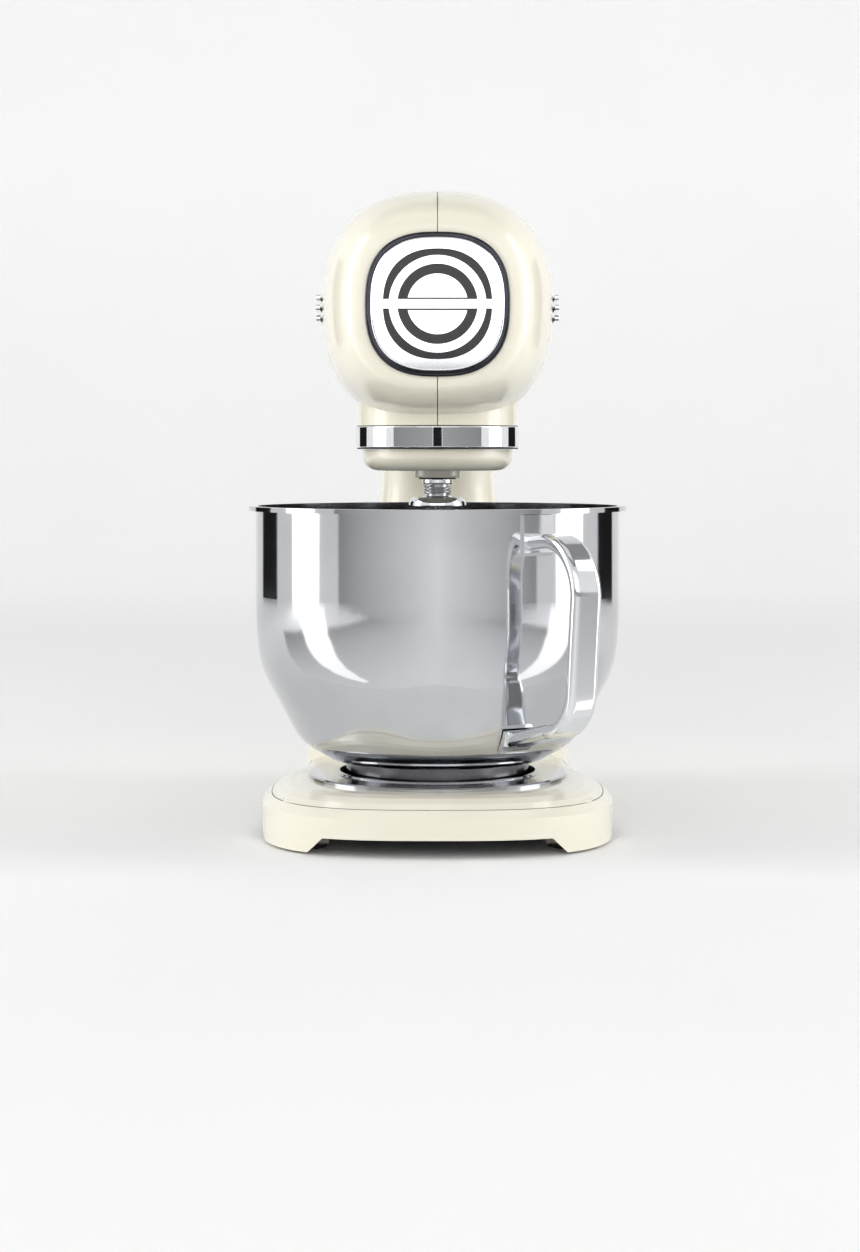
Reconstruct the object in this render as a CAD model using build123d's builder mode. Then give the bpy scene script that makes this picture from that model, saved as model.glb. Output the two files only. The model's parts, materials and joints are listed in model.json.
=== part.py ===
from build123d import *
from math import acos, asin, atan2, copysign, cos, hypot, pi, radians, sin, sqrt, tan
import os

os.makedirs("parts", exist_ok=True)

# Stand mixer with a tilting head, a planetary tool drive and a twist-lock bowl.
# Millimetres, +Z up, the front faces -Y. The origin is the middle of the footprint box,
# on the worktop. Depths named *_Y are absolute; the bowl axis stands at (0, BOWL_Y).

# ---------------------------------------------------------------- driving dimensions
BOWL_Y = -65.8
WALL = 3.0

BASE_HALF_WIDTH = 101.0
BASE_FRONT = 105.0
BASE_REAR = 235.0
FRONT_POWER = 3.0
REAR_POWER = 3.4
REAR_HALF_WIDTH = 85.0
REAR_START = 105.0
BASE_BOTTOM = 1.5
BASE_TOP = 32.0
BASE_CREASE = 21.5
BASE_WALL = 5.0
CAVITY_TOP = 26.0
ARCH_TOP = 10.0
ARCH_HALF_TOP = 63.0
ARCH_HALF_BOTTOM = 73.0
FOOT_RADIUS = 13.0
POST_PLACES = [(82.0, 30.0), (-82.0, 30.0), (0.0, -88.0), (0.0, 222.0)]
FOOT_PLACES = [(74.0, -60.0), (-74.0, -60.0), (64.0, 194.0), (-64.0, 194.0)]

HINGE_Y = BOWL_Y + 162.0
HINGE_Z = 224.0
KNUCKLE_RADIUS = 29.7
CRADLE_GAP = 0.5
KNUCKLE_STEM = 22.0
BUSH_RADIUS = 7.0
PIN_RADIUS = 5.0
PIN_HALF = 31.0
TILT_MAX = 40.0
COLUMN_TOP = 234.0

SEAT_OUTER = 75.6
SEAT_CUP = 58.6
SEAT_FLOOR = 29.0
SEAT_SHEET = 1.4
SEAT_SCREW_Z = SEAT_FLOOR + SEAT_SHEET

BOWL_WALL = 1.2
BOWL_RIM_OUTER = 110.6
BOWL_RIM_TOP = 189.7
BOWL_FLOOR = 43.0
BOWL_FOOT_OUTER = 53.4
BOWL_FOOT_BOTTOM = 30.7

HANDLE_ANGLE = 31.0
HANDLE_WIDTH = 18.0
HANDLE_THICK = 8.0
HANDLE_CORNER = 3.6

HEAD_HALF_WIDTH = 68.0
HEAD_HALF_HEIGHT = 68.5
HEAD_CENTRE_Z = 305.3
HEAD_POWER = 2.42
NOSE_HALF = 41.4
NOSE_Z = 302.9
NOSE_REACH = -77.0
WIDEST_REACH = 20.0
TAIL_REACH = 268.0
TAIL_DROOP = 17.0
SEAM = 0.5
NECK_RADIUS = 47.0
NECK_BOTTOM = 236.4

BAND_RADIUS = 47.9
BAND_BOTTOM = 223.5
CUP_RADIUS = 44.0
CUP_BOTTOM = 210.3
CUP_TOP = 222.6
SPINDLE_OFFSET = 27.5
SPINDLE_Y = BOWL_Y + SPINDLE_OFFSET
SPINDLE_RADIUS = 6.25
SPINDLE_BEARING = 11.0
SPINDLE_END = 172.0
PIN_HEIGHT = 178.0
BOSS_RADIUS = 14.0
BOSS_BOTTOM = 205.9
WHISK_LOOPS = 5
WHISK_RADIUS = 41.0
WHISK_CENTRE = 94.0
WIRE_RADIUS = 1.1

MODULE = 1.25
RING_TEETH = 64
PLANET_TEETH = 20
MAIN_TEETH = 60
DRIVE_TEETH = 15
HOUSING_TUBE = 20.4
SHAFT_BEARING = 13.0
HUB_SHAFT = 8.0
DRIVE_OFFSET = MODULE * (MAIN_TEETH + DRIVE_TEETH) / 2
MOTOR_OFFSET = 118.0
PLATE_BOTTOM = 256.0
PLATE_TOP = 260.0
MAIN_GEAR_Z = 264.0
BELT_Z = 276.0
MOTOR_Z = 292.0
MOTOR_RADIUS = 37.0
MOTOR_HEIGHT = 58.0
SMALL_PULLEY = 9.5
BELT_RATIO = 3.0

LEVER_Y = BOWL_Y + 184.0
LEVER_Z = 314.0
LEVER_LEAN = 40.0
SLOT_Y = LEVER_Y + 12.0
STUD_Z = 258.0

BEZEL_HALF = 40.2
CAP_HALF = 37.2
CAP_GROOVE = 30.2
CAP_RING = 27.0
CAP_WELL = 22.2
CAP_DOME = 16.8
CAP_BAR = 5.2
SOCKET_Z = 303.0
SOCKET_BORE = 11.0
TRIM_Z = 305.0
TRIM_PITCH = 6.0
TRIM_LENGTH = 74.0
TRIM_HEIGHT = 3.2
TRIM_STAND = 2.4

BUTTON_Z = 150.0
GLAND_X = -45.0
GLAND_Z = 20.0
GLAND_REACH = 234.6
PAWL_Z = 166.0


# ---------------------------------------------------------------- shared shapes
def signed_power(value, power):
    return copysign(abs(value) ** power, value)


def superellipse(half_u, half_v, power, centre_v=0.0, steps=32):
    points = []
    for step in range(steps):
        angle = 2 * pi * step / steps
        u = half_u * signed_power(cos(angle), 2 / power)
        v = half_v * signed_power(sin(angle), 2 / power)
        points.append((u, centre_v + v))
    return points


def base_outline(inset):
    """The base in plan: round in front, drawn in behind the bowl, squarer at the rear."""
    side = []
    for step in range(13):
        angle = pi / 2 * (step / 12 - 1)
        u = (BASE_HALF_WIDTH - inset) * signed_power(cos(angle), 2 / FRONT_POWER)
        v = (BASE_FRONT - inset) * signed_power(sin(angle), 2 / FRONT_POWER)
        side.append((u, BOWL_Y + v))
    for step in range(1, 6):
        narrowing = (1 - cos(pi * step / 5)) / 2
        half_width = BASE_HALF_WIDTH + (REAR_HALF_WIDTH - BASE_HALF_WIDTH) * narrowing
        side.append((half_width - inset, BOWL_Y + REAR_START * step / 5))
    for step in range(1, 11):
        angle = pi / 2 * step / 10
        u = (REAR_HALF_WIDTH - inset) * signed_power(cos(angle), 2 / REAR_POWER)
        v = (BASE_REAR - REAR_START - inset) * signed_power(sin(angle), 2 / REAR_POWER)
        side.append((u, BOWL_Y + REAR_START + v))
    other_side = [(-u, v) for u, v in reversed(side[1:-1])]
    return side + other_side


def front_plane(y, z=0.0):
    """A plane facing the front: local x is +X and local y is +Z."""
    return Plane(origin=(0, y, z), x_dir=(1, 0, 0), z_dir=(0, -1, 0))


def side_plane(x=0.0):
    """A plane facing +X: local x is +Y and local y is +Z."""
    return Plane(origin=(x, 0, 0), x_dir=(0, 1, 0), z_dir=(1, 0, 0))


def bowl_axis():
    return Axis((0, BOWL_Y, 0), (0, 0, 1))


def bowl_plane(angle):
    """An upright plane through the bowl's axis, turned from the front towards +X."""
    out_x = sin(radians(angle))
    out_y = -cos(radians(angle))
    return Plane(origin=(0, BOWL_Y, 0), x_dir=(out_x, out_y, 0), z_dir=(out_y, -out_x, 0))


def half_size_factor(reach):
    """How full the head's section is, from 1 at its widest to 0 at the tail."""
    t = (reach - WIDEST_REACH) / (TAIL_REACH - WIDEST_REACH)
    return sqrt(max(0.0, 1 - t ** 2.6))


def head_section(reach, inset=0.0):
    """Half width, half height, centre height and power of the head at a reach."""
    if reach <= WIDEST_REACH:
        t = (WIDEST_REACH - reach) / (WIDEST_REACH - NOSE_REACH)
        full = sqrt(max(0.0, 1 - t ** 2.4))
        half_w = NOSE_HALF + (HEAD_HALF_WIDTH - NOSE_HALF) * full
        half_h = NOSE_HALF + (HEAD_HALF_HEIGHT - NOSE_HALF) * full
        centre = NOSE_Z + (HEAD_CENTRE_Z - NOSE_Z) * full
        power = 2.6 + (HEAD_POWER - 2.6) * full
    else:
        t = (reach - WIDEST_REACH) / (TAIL_REACH - WIDEST_REACH)
        full = half_size_factor(reach)
        half_w = HEAD_HALF_WIDTH * full
        half_h = HEAD_HALF_HEIGHT * full
        centre = HEAD_CENTRE_Z - TAIL_DROOP * t * t
        power = HEAD_POWER - 0.35 * t
    return half_w - inset, half_h - inset, centre, power


def gear_points(centre_y, teeth, module, phase=0.0, addendum=0.95, dedendum=1.2, backlash=0.15):
    """Outline of a 20 degree involute gear on (0, centre_y), with a tooth centred at phase."""
    pitch = module * teeth / 2
    base = pitch * cos(radians(20))
    root = pitch - dedendum * module
    tip = pitch + addendum * module
    involute_at_pitch = tan(radians(20)) - radians(20)
    half_tooth = pi / (2 * teeth) - backlash / (2 * pitch)
    flank = []
    start = max(base, root)
    for step in range(6):
        radius = start + (tip - start) * step / 5
        pressure = acos(min(1.0, base / radius))
        half = half_tooth + involute_at_pitch - (tan(pressure) - pressure)
        flank.append((radius, half))
    if root < base:
        flank.insert(0, (root, flank[0][1]))
    points = []
    for tooth in range(teeth):
        middle = radians(phase) + 2 * pi * tooth / teeth
        for radius, half in flank:
            points.append((radius * cos(middle - half), centre_y + radius * sin(middle - half)))
        for radius, half in reversed(flank):
            points.append((radius * cos(middle + half), centre_y + radius * sin(middle + half)))
    return points


def tangent_side(top_x, top_z, centre_z, radius):
    """Where a line from (top_x, top_z) touches a circle centred at (0, centre_z)."""
    away = hypot(top_x, top_z - centre_z)
    bearing = atan2(top_z - centre_z, top_x)
    angle = bearing - acos(radius / away)
    return radius * cos(angle), centre_z + radius * sin(angle)


# ---------------------------------------------------------------- stand: casting
SHOULDER = [(BASE_CREASE, 0.0), (25.4, 4.4), (28.6, 9.6), (30.8, 15.4), (BASE_TOP, 22.0)]
COLUMN_SECTIONS = [
    # height, half width, front reach, rear reach, power
    (22.0, 84.5, 79.0, 228.0, 2.9),
    (34.0, 84.0, 80.0, 227.0, 2.9),
    (48.0, 79.5, 84.0, 223.0, 2.8),
    (65.0, 69.0, 92.5, 217.0, 2.7),
    (84.0, 59.0, 102.0, 210.5, 2.6),
    (106.0, 51.0, 110.5, 205.5, 2.5),
    (134.0, 44.8, 116.5, 202.5, 2.5),
    (167.0, 40.6, 119.5, 201.0, 2.5),
    (200.0, 37.2, 121.0, 200.0, 2.5),
    (COLUMN_TOP, 34.2, 122.0, 199.0, 2.5),
]


def column_outline(half_width, front, rear, power, inset):
    middle = BOWL_Y + (front + rear) / 2
    depth = (rear - front) / 2
    return superellipse(half_width - inset, depth - inset, power, middle)


with BuildPart() as stand_casting:
    with BuildSketch(Plane.XY.offset(BASE_BOTTOM)):
        with BuildLine():
            Spline(*base_outline(0), periodic=True)
        make_face()
    extrude(amount=BASE_CREASE - BASE_BOTTOM)
    # shoulder that rises from the crease to the flat top round the bowl seat
    for height, inset in SHOULDER:
        with BuildSketch(Plane.XY.offset(height)):
            with BuildLine():
                Spline(*base_outline(inset), periodic=True)
            make_face()
    loft(ruled=True)
    for height, half_width, front, rear, power in COLUMN_SECTIONS:
        with BuildSketch(Plane.XY.offset(height)):
            with BuildLine():
                Spline(*column_outline(half_width, front, rear, power, 0), periodic=True)
            make_face()
    loft()
    # underside cavity of the base
    with BuildSketch(Plane.XY):
        with BuildLine():
            Spline(*base_outline(BASE_WALL), periodic=True)
        make_face()
    extrude(amount=CAVITY_TOP, mode=Mode.SUBTRACT)
    # hollow of the column, open into the base
    for height, half_width, front, rear, power in COLUMN_SECTIONS[:-2]:
        with BuildSketch(Plane.XY.offset(height - 6)):
            with BuildLine():
                Spline(*column_outline(half_width, front, rear, power, 7), periodic=True)
            make_face()
    loft(mode=Mode.SUBTRACT)
    # foot pillars and the cover's screw posts
    with BuildSketch(Plane.XY.offset(BASE_BOTTOM)):
        with Locations(*[(x, BOWL_Y + y) for x, y in FOOT_PLACES]):
            Circle(FOOT_RADIUS)
    extrude(amount=CAVITY_TOP - BASE_BOTTOM + 1)
    with BuildSketch(Plane.XY.offset(13)):
        with Locations(*[(x, BOWL_Y + y) for x, y in POST_PLACES]):
            Circle(4.5)
    extrude(amount=14)
    # recess for the bowl seat
    with BuildSketch(Plane.XY.offset(SEAT_FLOOR)):
        with Locations((0, BOWL_Y)):
            Circle(SEAT_CUP + 0.4)
    extrude(amount=10, mode=Mode.SUBTRACT)
    # arches between the feet, front, rear and both sides
    with BuildSketch(front_plane(BOWL_Y - 130)):
        with BuildLine():
            Polyline((-ARCH_HALF_BOTTOM, 0), (ARCH_HALF_BOTTOM, 0), (ARCH_HALF_TOP, ARCH_TOP),
                     (-ARCH_HALF_TOP, ARCH_TOP), close=True)
        make_face()
    extrude(amount=-70, mode=Mode.SUBTRACT)
    with BuildSketch(front_plane(BOWL_Y + 250)):
        with BuildLine():
            Polyline((-56, 0), (56, 0), (48, ARCH_TOP), (-48, ARCH_TOP), close=True)
        make_face()
    extrude(amount=50, mode=Mode.SUBTRACT)
    with BuildSketch(side_plane()):
        with BuildLine():
            Polyline((BOWL_Y - 40, 0), (BOWL_Y + 150, 0), (BOWL_Y + 140, ARCH_TOP),
                     (BOWL_Y - 30, ARCH_TOP), close=True)
        make_face()
    extrude(amount=150, both=True, mode=Mode.SUBTRACT)
    # rear of the column top slopes so that the tilted head clears it
    split(bisect_by=Plane(origin=(0, HINGE_Y + 11.0 * sin(radians(TILT_MAX)),
                                  HINGE_Z + 11.0 * cos(radians(TILT_MAX))),
                          z_dir=(0, sin(radians(TILT_MAX)), cos(radians(TILT_MAX)))),
          keep=Keep.BOTTOM)
    # cradle, hinge bore and recesses for the hinge caps
    with Locations((0, HINGE_Y, HINGE_Z)):
        Sphere(KNUCKLE_RADIUS + CRADLE_GAP, mode=Mode.SUBTRACT)
        Cylinder(PIN_RADIUS, 120, rotation=(0, 90, 0), mode=Mode.SUBTRACT)
    with Locations((PIN_HALF + 5, HINGE_Y, HINGE_Z), (-PIN_HALF - 5, HINGE_Y, HINGE_Z)):
        Cylinder(7.5, 10, rotation=(0, 90, 0), mode=Mode.SUBTRACT)
    # slot for the latch pawl under the cradle, pawl pin bore, button bore
    with Locations((0, BOWL_Y + 160, 180)):
        Box(9, 24, 42, mode=Mode.SUBTRACT)
    with Locations((0, BOWL_Y + 158, PAWL_Z)):
        Cylinder(2.0, 15, rotation=(0, 90, 0), mode=Mode.SUBTRACT)
    with Locations((0, BOWL_Y + 214, BUTTON_Z)):
        Cylinder(9.6, 50, rotation=(90, 0, 0), mode=Mode.SUBTRACT)
    # cord inlet bore low in the rear wall, and screw holes up into the pillars and posts
    with Locations((GLAND_X, BOWL_Y + 232, GLAND_Z)):
        Cylinder(6.1, 30, rotation=(90, 0, 0), mode=Mode.SUBTRACT)
    with BuildSketch(Plane.XY.offset(BASE_BOTTOM)):
        with Locations(*[(x, BOWL_Y + y) for x, y in FOOT_PLACES]):
            Circle(4.0)
    extrude(amount=9, mode=Mode.SUBTRACT)
    with BuildSketch(Plane.XY.offset(13)):
        with Locations(*[(x, BOWL_Y + y) for x, y in POST_PLACES]):
            Circle(1.5)
    extrude(amount=10, mode=Mode.SUBTRACT)
    with BuildSketch(Plane.XY.offset(SEAT_FLOOR - 0.8)):
        with Locations((0, BOWL_Y)):
            with PolarLocations(40, 4, start_angle=45):
                Circle(2.0)
    extrude(amount=4, mode=Mode.SUBTRACT)
stand_casting.part.label = "stand_casting"
export_step(stand_casting.part, "parts/stand_casting.step")

# ---------------------------------------------------------------- stand: small pieces
with BuildPart() as bottom_cover:
    with BuildSketch(Plane.XY.offset(ARCH_TOP + 0.6)):
        with BuildLine():
            Spline(*base_outline(BASE_WALL + 0.6), periodic=True)
        make_face()
        with Locations(*[(x, BOWL_Y + y) for x, y in FOOT_PLACES]):
            Circle(FOOT_RADIUS + 0.4, mode=Mode.SUBTRACT)
        with Locations(*[(x, BOWL_Y + y) for x, y in POST_PLACES]):
            Circle(1.5, mode=Mode.SUBTRACT)
    extrude(amount=2)
    # ventilation slots under the column
    with BuildSketch(Plane.XY.offset(ARCH_TOP)):
        with Locations((0, BOWL_Y + 140)):
            with GridLocations(0, 9, 1, 7):
                SlotOverall(60, 3.5)
    extrude(amount=4, mode=Mode.SUBTRACT)
bottom_cover.part.label = "bottom_cover"
export_step(bottom_cover.part, "parts/bottom_cover.step")

with BuildPart() as rubber_feet:
    with Locations(*[(x, BOWL_Y + y, 0) for x, y in FOOT_PLACES]):
        Cylinder(FOOT_RADIUS - 1, BASE_BOTTOM, align=(Align.CENTER, Align.CENTER, Align.MIN))
        Cylinder(3.9, 9.5, align=(Align.CENTER, Align.CENTER, Align.MIN))
    fillet(rubber_feet.edges().group_by(Axis.Z)[0], 0.5)
rubber_feet.part.label = "rubber_feet"
export_step(rubber_feet.part, "parts/rubber_feet.step")

with BuildPart() as bowl_seat:
    with BuildSketch(side_plane()):
        with BuildLine():
            Polyline(
                (BOWL_Y + 18, SEAT_FLOOR), (BOWL_Y + SEAT_CUP, SEAT_FLOOR),
                (BOWL_Y + SEAT_CUP, 32.6), (BOWL_Y + SEAT_OUTER, 32.6 - 0.6),
                (BOWL_Y + SEAT_OUTER, 33.4), (BOWL_Y + SEAT_OUTER - 1.2, 34.1),
                (BOWL_Y + SEAT_CUP + 1.4, 34.4), (BOWL_Y + SEAT_CUP + 0.6, 35.4),
                (BOWL_Y + SEAT_CUP - SEAT_SHEET, 35.4),
                (BOWL_Y + SEAT_CUP - SEAT_SHEET, SEAT_FLOOR + SEAT_SHEET),
                (BOWL_Y + 18, SEAT_FLOOR + SEAT_SHEET), close=True)
        make_face()
    revolve(axis=bowl_axis())
    # three inward tabs that hold the bowl's lugs down
    with BuildSketch(Plane.XY.offset(33.4)):
        with Locations((0, BOWL_Y)):
            Circle(SEAT_CUP - SEAT_SHEET + 0.3)
            Circle(BOWL_FOOT_OUTER + 0.6, mode=Mode.SUBTRACT)
            with PolarLocations(0, 3, start_angle=60 + 90):
                Rectangle(70, 26, align=(Align.MIN, Align.CENTER), mode=Mode.INTERSECT)
    extrude(amount=1.6)
    with BuildSketch(Plane.XY.offset(SEAT_FLOOR - 1)):
        with Locations((0, BOWL_Y)):
            with PolarLocations(40, 4, start_angle=45):
                Circle(2.2)
    extrude(amount=5, mode=Mode.SUBTRACT)
bowl_seat.part.label = "bowl_seat"
export_step(bowl_seat.part, "parts/bowl_seat.step")

with BuildPart() as base_screws:
    for screw_radius, screw_bottom, screw_height in ((3.2, ARCH_TOP - 1.4, 2), (1.45, ARCH_TOP + 0.4, 11)):
        with BuildSketch(Plane.XY.offset(screw_bottom)):
            with Locations(*[(x, BOWL_Y + y) for x, y in POST_PLACES]):
                Circle(screw_radius)
        extrude(amount=screw_height)
    seat_screw = ((1.95, SEAT_FLOOR - 0.8, 2.4), (3.6, SEAT_SCREW_Z, 0.8))
    for screw_radius, screw_bottom, screw_height in seat_screw:
        with BuildSketch(Plane.XY.offset(screw_bottom)):
            with Locations((0, BOWL_Y)):
                with PolarLocations(40, 4, start_angle=45):
                    Circle(screw_radius)
        extrude(amount=screw_height)
base_screws.part.label = "base_screws"
export_step(base_screws.part, "parts/base_screws.step")

with BuildPart() as hinge_pin:
    with Locations((0, HINGE_Y, HINGE_Z)):
        Cylinder(PIN_RADIUS - 0.03, 2 * PIN_HALF, rotation=(0, 90, 0))
    chamfer(hinge_pin.edges(), 0.5)
hinge_pin.part.label = "hinge_pin"
export_step(hinge_pin.part, "parts/hinge_pin.step")

with BuildPart() as hinge_caps:
    with Locations((PIN_HALF + 1.6, HINGE_Y, HINGE_Z), (-PIN_HALF - 1.6, HINGE_Y, HINGE_Z)):
        Cylinder(7.4, 3, rotation=(0, 90, 0))
    fillet(hinge_caps.edges().group_by(Axis.X)[0] + hinge_caps.edges().group_by(Axis.X)[-1], 0.9)
hinge_caps.part.label = "hinge_caps"
export_step(hinge_caps.part, "parts/hinge_caps.step")

# release button behind the column: bezel, return spring, latch pawl and its pin
BUTTON_FACE = BOWL_Y + 203.0
PAWL_Y = BOWL_Y + 158.0
with BuildPart() as button_bezel:
    with BuildSketch(front_plane(BUTTON_FACE, BUTTON_Z)):
        Circle(12.5)
        Circle(8.2, mode=Mode.SUBTRACT)
    extrude(amount=-1.4)
    with BuildSketch(front_plane(BUTTON_FACE, BUTTON_Z)):
        Circle(9.5)
        Circle(8.2, mode=Mode.SUBTRACT)
    extrude(amount=6)
button_bezel.part.label = "button_bezel"
export_step(button_bezel.part, "parts/button_bezel.step")

with BuildPart() as release_button:
    with BuildSketch(front_plane(BUTTON_FACE - 3, BUTTON_Z)):
        Circle(8.1)
    extrude(amount=-8)
    fillet(release_button.edges().group_by(Axis.Y)[-1], 1.4)
    with BuildSketch(front_plane(BUTTON_FACE - 3, BUTTON_Z)):
        Circle(3.5)
    extrude(amount=BUTTON_FACE - 3 - PAWL_Y - 8.8)
release_button.part.label = "release_button"
export_step(release_button.part, "parts/release_button.step")

with BuildPart() as latch_pawl:
    with BuildSketch(side_plane()):
        with BuildLine():
            Polyline((PAWL_Y - 4, 193.2), (PAWL_Y + 3, 193.0), (PAWL_Y + 4, PAWL_Z - 4),
                     (PAWL_Y + 9, BUTTON_Z - 6), (PAWL_Y + 3, BUTTON_Z - 6),
                     (PAWL_Y - 5, PAWL_Z - 4), close=True)
        make_face()
        with Locations((PAWL_Y, PAWL_Z)):
            Circle(2.05, mode=Mode.SUBTRACT)
    extrude(amount=3, both=True)
latch_pawl.part.label = "latch_pawl"
export_step(latch_pawl.part, "parts/latch_pawl.step")

with BuildPart() as pawl_pin:
    with Locations((0, PAWL_Y, PAWL_Z)):
        Cylinder(2.0, 15, rotation=(0, 90, 0))
pawl_pin.part.label = "pawl_pin"
export_step(pawl_pin.part, "parts/pawl_pin.step")

with BuildPart() as button_spring:
    with BuildLine() as spring_path:
        Helix(pitch=2.1, height=6.3, radius=5.4, center=(0, BUTTON_FACE - 10.4, BUTTON_Z),
              direction=(0, 1, 0))
    with BuildSketch(Plane(origin=spring_path.line @ 0, z_dir=spring_path.line % 0)):
        Circle(0.55)
    sweep()
button_spring.part.label = "button_spring"
export_step(button_spring.part, "parts/button_spring.step")

with BuildPart() as cord_gland:
    with BuildSketch(Plane(origin=(GLAND_X, BOWL_Y + GLAND_REACH - 8, GLAND_Z), z_dir=(0, 1, 0))):
        Circle(5.9)
        Circle(3.4, mode=Mode.SUBTRACT)
    extrude(amount=10)
    with BuildSketch(Plane(origin=(GLAND_X, BOWL_Y + GLAND_REACH + 0.4, GLAND_Z), z_dir=(0, 1, 0))):
        Circle(8.0)
        Circle(3.4, mode=Mode.SUBTRACT)
    extrude(amount=2.4)
cord_gland.part.label = "cord_gland"
export_step(cord_gland.part, "parts/cord_gland.step")

# ---------------------------------------------------------------- bowl
BOWL_PROFILE = [
    # radius, height down the outside of the wall, below its straight upper part
    (106.3, 138.0), (105.2, 112.0), (101.8, 94.5), (95.0, 80.5), (87.4, 66.4), (77.7, 52.3), (66.8, 45.5),
    (58.5, 42.2),
]


def inside_of(profile, thickness):
    """The profile moved towards the bowl's inside, square to itself."""
    inner = []
    for i, (radius, height) in enumerate(profile):
        before = profile[max(i - 1, 0)]
        after = profile[min(i + 1, len(profile) - 1)]
        run = hypot(after[0] - before[0], after[1] - before[1])
        turn_r = (after[1] - before[1]) / run
        turn_z = -(after[0] - before[0]) / run
        inner.append((radius + turn_r * thickness, height + turn_z * thickness))
    return inner


def from_axis(points):
    return [(BOWL_Y + radius, height) for radius, height in points]


RIM_IN = BOWL_PROFILE[0][0] - BOWL_WALL
with BuildPart() as bowl:
    with BuildSketch(side_plane()) as bowl_half:
        with BuildLine():
            outside = from_axis(BOWL_PROFILE)
            inside = from_axis(inside_of(BOWL_PROFILE, BOWL_WALL))
            inside[0] = (BOWL_Y + RIM_IN, BOWL_PROFILE[0][1])
            outer_curve = Spline(*outside, tangents=[(0, -1), (-1, -0.15)])
            inner_curve = Spline(*inside, tangents=[(0, -1), (-1, -0.15)])
            Polyline(outer_curve @ 1, (BOWL_Y + 54.5, BOWL_FLOOR), (BOWL_Y, BOWL_FLOOR),
                     (BOWL_Y, BOWL_FLOOR + BOWL_WALL), (BOWL_Y + 54.0, BOWL_FLOOR + BOWL_WALL),
                     inner_curve @ 1)
            Polyline(inner_curve @ 0, (BOWL_Y + RIM_IN, BOWL_RIM_TOP),
                     (BOWL_Y + BOWL_RIM_OUTER, BOWL_RIM_TOP),
                     (BOWL_Y + BOWL_RIM_OUTER, BOWL_RIM_TOP - 2.6),
                     (BOWL_Y + BOWL_PROFILE[0][0], BOWL_RIM_TOP - 2.6), outer_curve @ 0)
        make_face()
        rim_corners = bowl_half.vertices().filter_by_position(Axis.Z, 187.0, 190.0)
        rim_corners = rim_corners.filter_by_position(Axis.Y, BOWL_Y + 110, BOWL_Y + 111)
        fillet(rim_corners, 1.25)
    revolve(axis=bowl_axis())
bowl.part.label = "bowl"
export_step(bowl.part, "parts/bowl.step")

with BuildPart() as bowl_foot:
    with BuildSketch(side_plane()):
        with BuildLine():
            Polyline((BOWL_Y + 46, BOWL_FLOOR - 1.6), (BOWL_Y + 51.8, BOWL_FLOOR - 1.6),
                     (BOWL_Y + 51.8, BOWL_FOOT_BOTTOM), (BOWL_Y + BOWL_FOOT_OUTER, BOWL_FOOT_BOTTOM),
                     (BOWL_Y + BOWL_FOOT_OUTER, BOWL_FLOOR - 0.1), (BOWL_Y + 46, BOWL_FLOOR - 0.1),
                     close=True)
        make_face()
    revolve(axis=bowl_axis())
    # three bayonet lugs under the seat's tabs
    with BuildSketch(Plane.XY.offset(BOWL_FOOT_BOTTOM)):
        with Locations((0, BOWL_Y)):
            Circle(SEAT_CUP - SEAT_SHEET - 0.7)
            Circle(BOWL_FOOT_OUTER - 0.4, mode=Mode.SUBTRACT)
            with PolarLocations(0, 3, start_angle=150):
                Rectangle(70, 26, align=(Align.MIN, Align.CENTER), mode=Mode.INTERSECT)
    extrude(amount=2.2)
bowl_foot.part.label = "bowl_foot"
export_step(bowl_foot.part, "parts/bowl_foot.step")

# handle: a strap loop in an upright plane that holds the bowl's axis
HANDLE_PLANE = bowl_plane(HANDLE_ANGLE)
GRIP_REACH = 149.6
HANDLE_TOP = 172.6
TAB_HALF_ANGLE = 5.2
with BuildPart() as upper_tab:
    with BuildSketch(bowl_plane(HANDLE_ANGLE - TAB_HALF_ANGLE)):
        with BuildLine():
            Polyline((106.4, 164), (109.0, 166), (108.4, 186.6), (106.4, 186.9), close=True)
        make_face()
    revolve(axis=bowl_axis(), revolution_arc=2 * TAB_HALF_ANGLE)
TAB_LOW_HALF = 6.6
with BuildPart() as lower_tab:
    with BuildSketch(bowl_plane(HANDLE_ANGLE - TAB_LOW_HALF)):
        with BuildLine():
            Polyline((80.1, 54.3), (84.2, 59.5), (88.7, 66.9), (91.0, 66.4), (88.6, 58.2), (82.6, 54.5),
                     close=True)
        make_face()
    revolve(axis=bowl_axis(), revolution_arc=2 * TAB_LOW_HALF)

with BuildPart() as bowl_handle:
    with BuildLine(HANDLE_PLANE) as handle_path:
        upper_run = Line((107.4, HANDLE_TOP - 1.5), (120.2, HANDLE_TOP))
        upper_bend = JernArc(start=upper_run @ 1, tangent=upper_run % 1, radius=29.4, arc_size=-95)
        grip = Line(upper_bend @ 1, (GRIP_REACH - 1, 92))
        lower_bend = JernArc(start=grip @ 1, tangent=grip % 1, radius=24, arc_size=-86)
        Line(lower_bend @ 1, (88.6, 61.5))
    with BuildSketch(Plane(origin=handle_path.line @ 0, x_dir=HANDLE_PLANE.z_dir,
                           z_dir=handle_path.line % 0)):
        RectangleRounded(HANDLE_WIDTH, HANDLE_THICK, HANDLE_CORNER)
    sweep()
    # flat end tabs that lie on the bowl, cut from thin shells round its axis
    add(upper_tab.part)
    add(lower_tab.part)
bowl_handle.part.label = "bowl_handle"
export_step(bowl_handle.part, "parts/bowl_handle.step")

# ---------------------------------------------------------------- head: shells
def tapered_reaches(first, last):
    """Stations along the head, closer together where it curves most."""
    stations = [first]
    for angle in (84, 76, 64, 48, 28):
        t = sin(radians(angle)) ** (2 / 2.4)
        stations.append(WIDEST_REACH - t * (WIDEST_REACH - NOSE_REACH))
    for angle in (0, 24, 42, 57, 69, 78, 84):
        t = sin(radians(angle)) ** (2 / 2.6)
        stations.append(WIDEST_REACH + t * (TAIL_REACH - WIDEST_REACH))
    stations.append(last)
    return [reach for reach in stations if first <= reach <= last]


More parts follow.
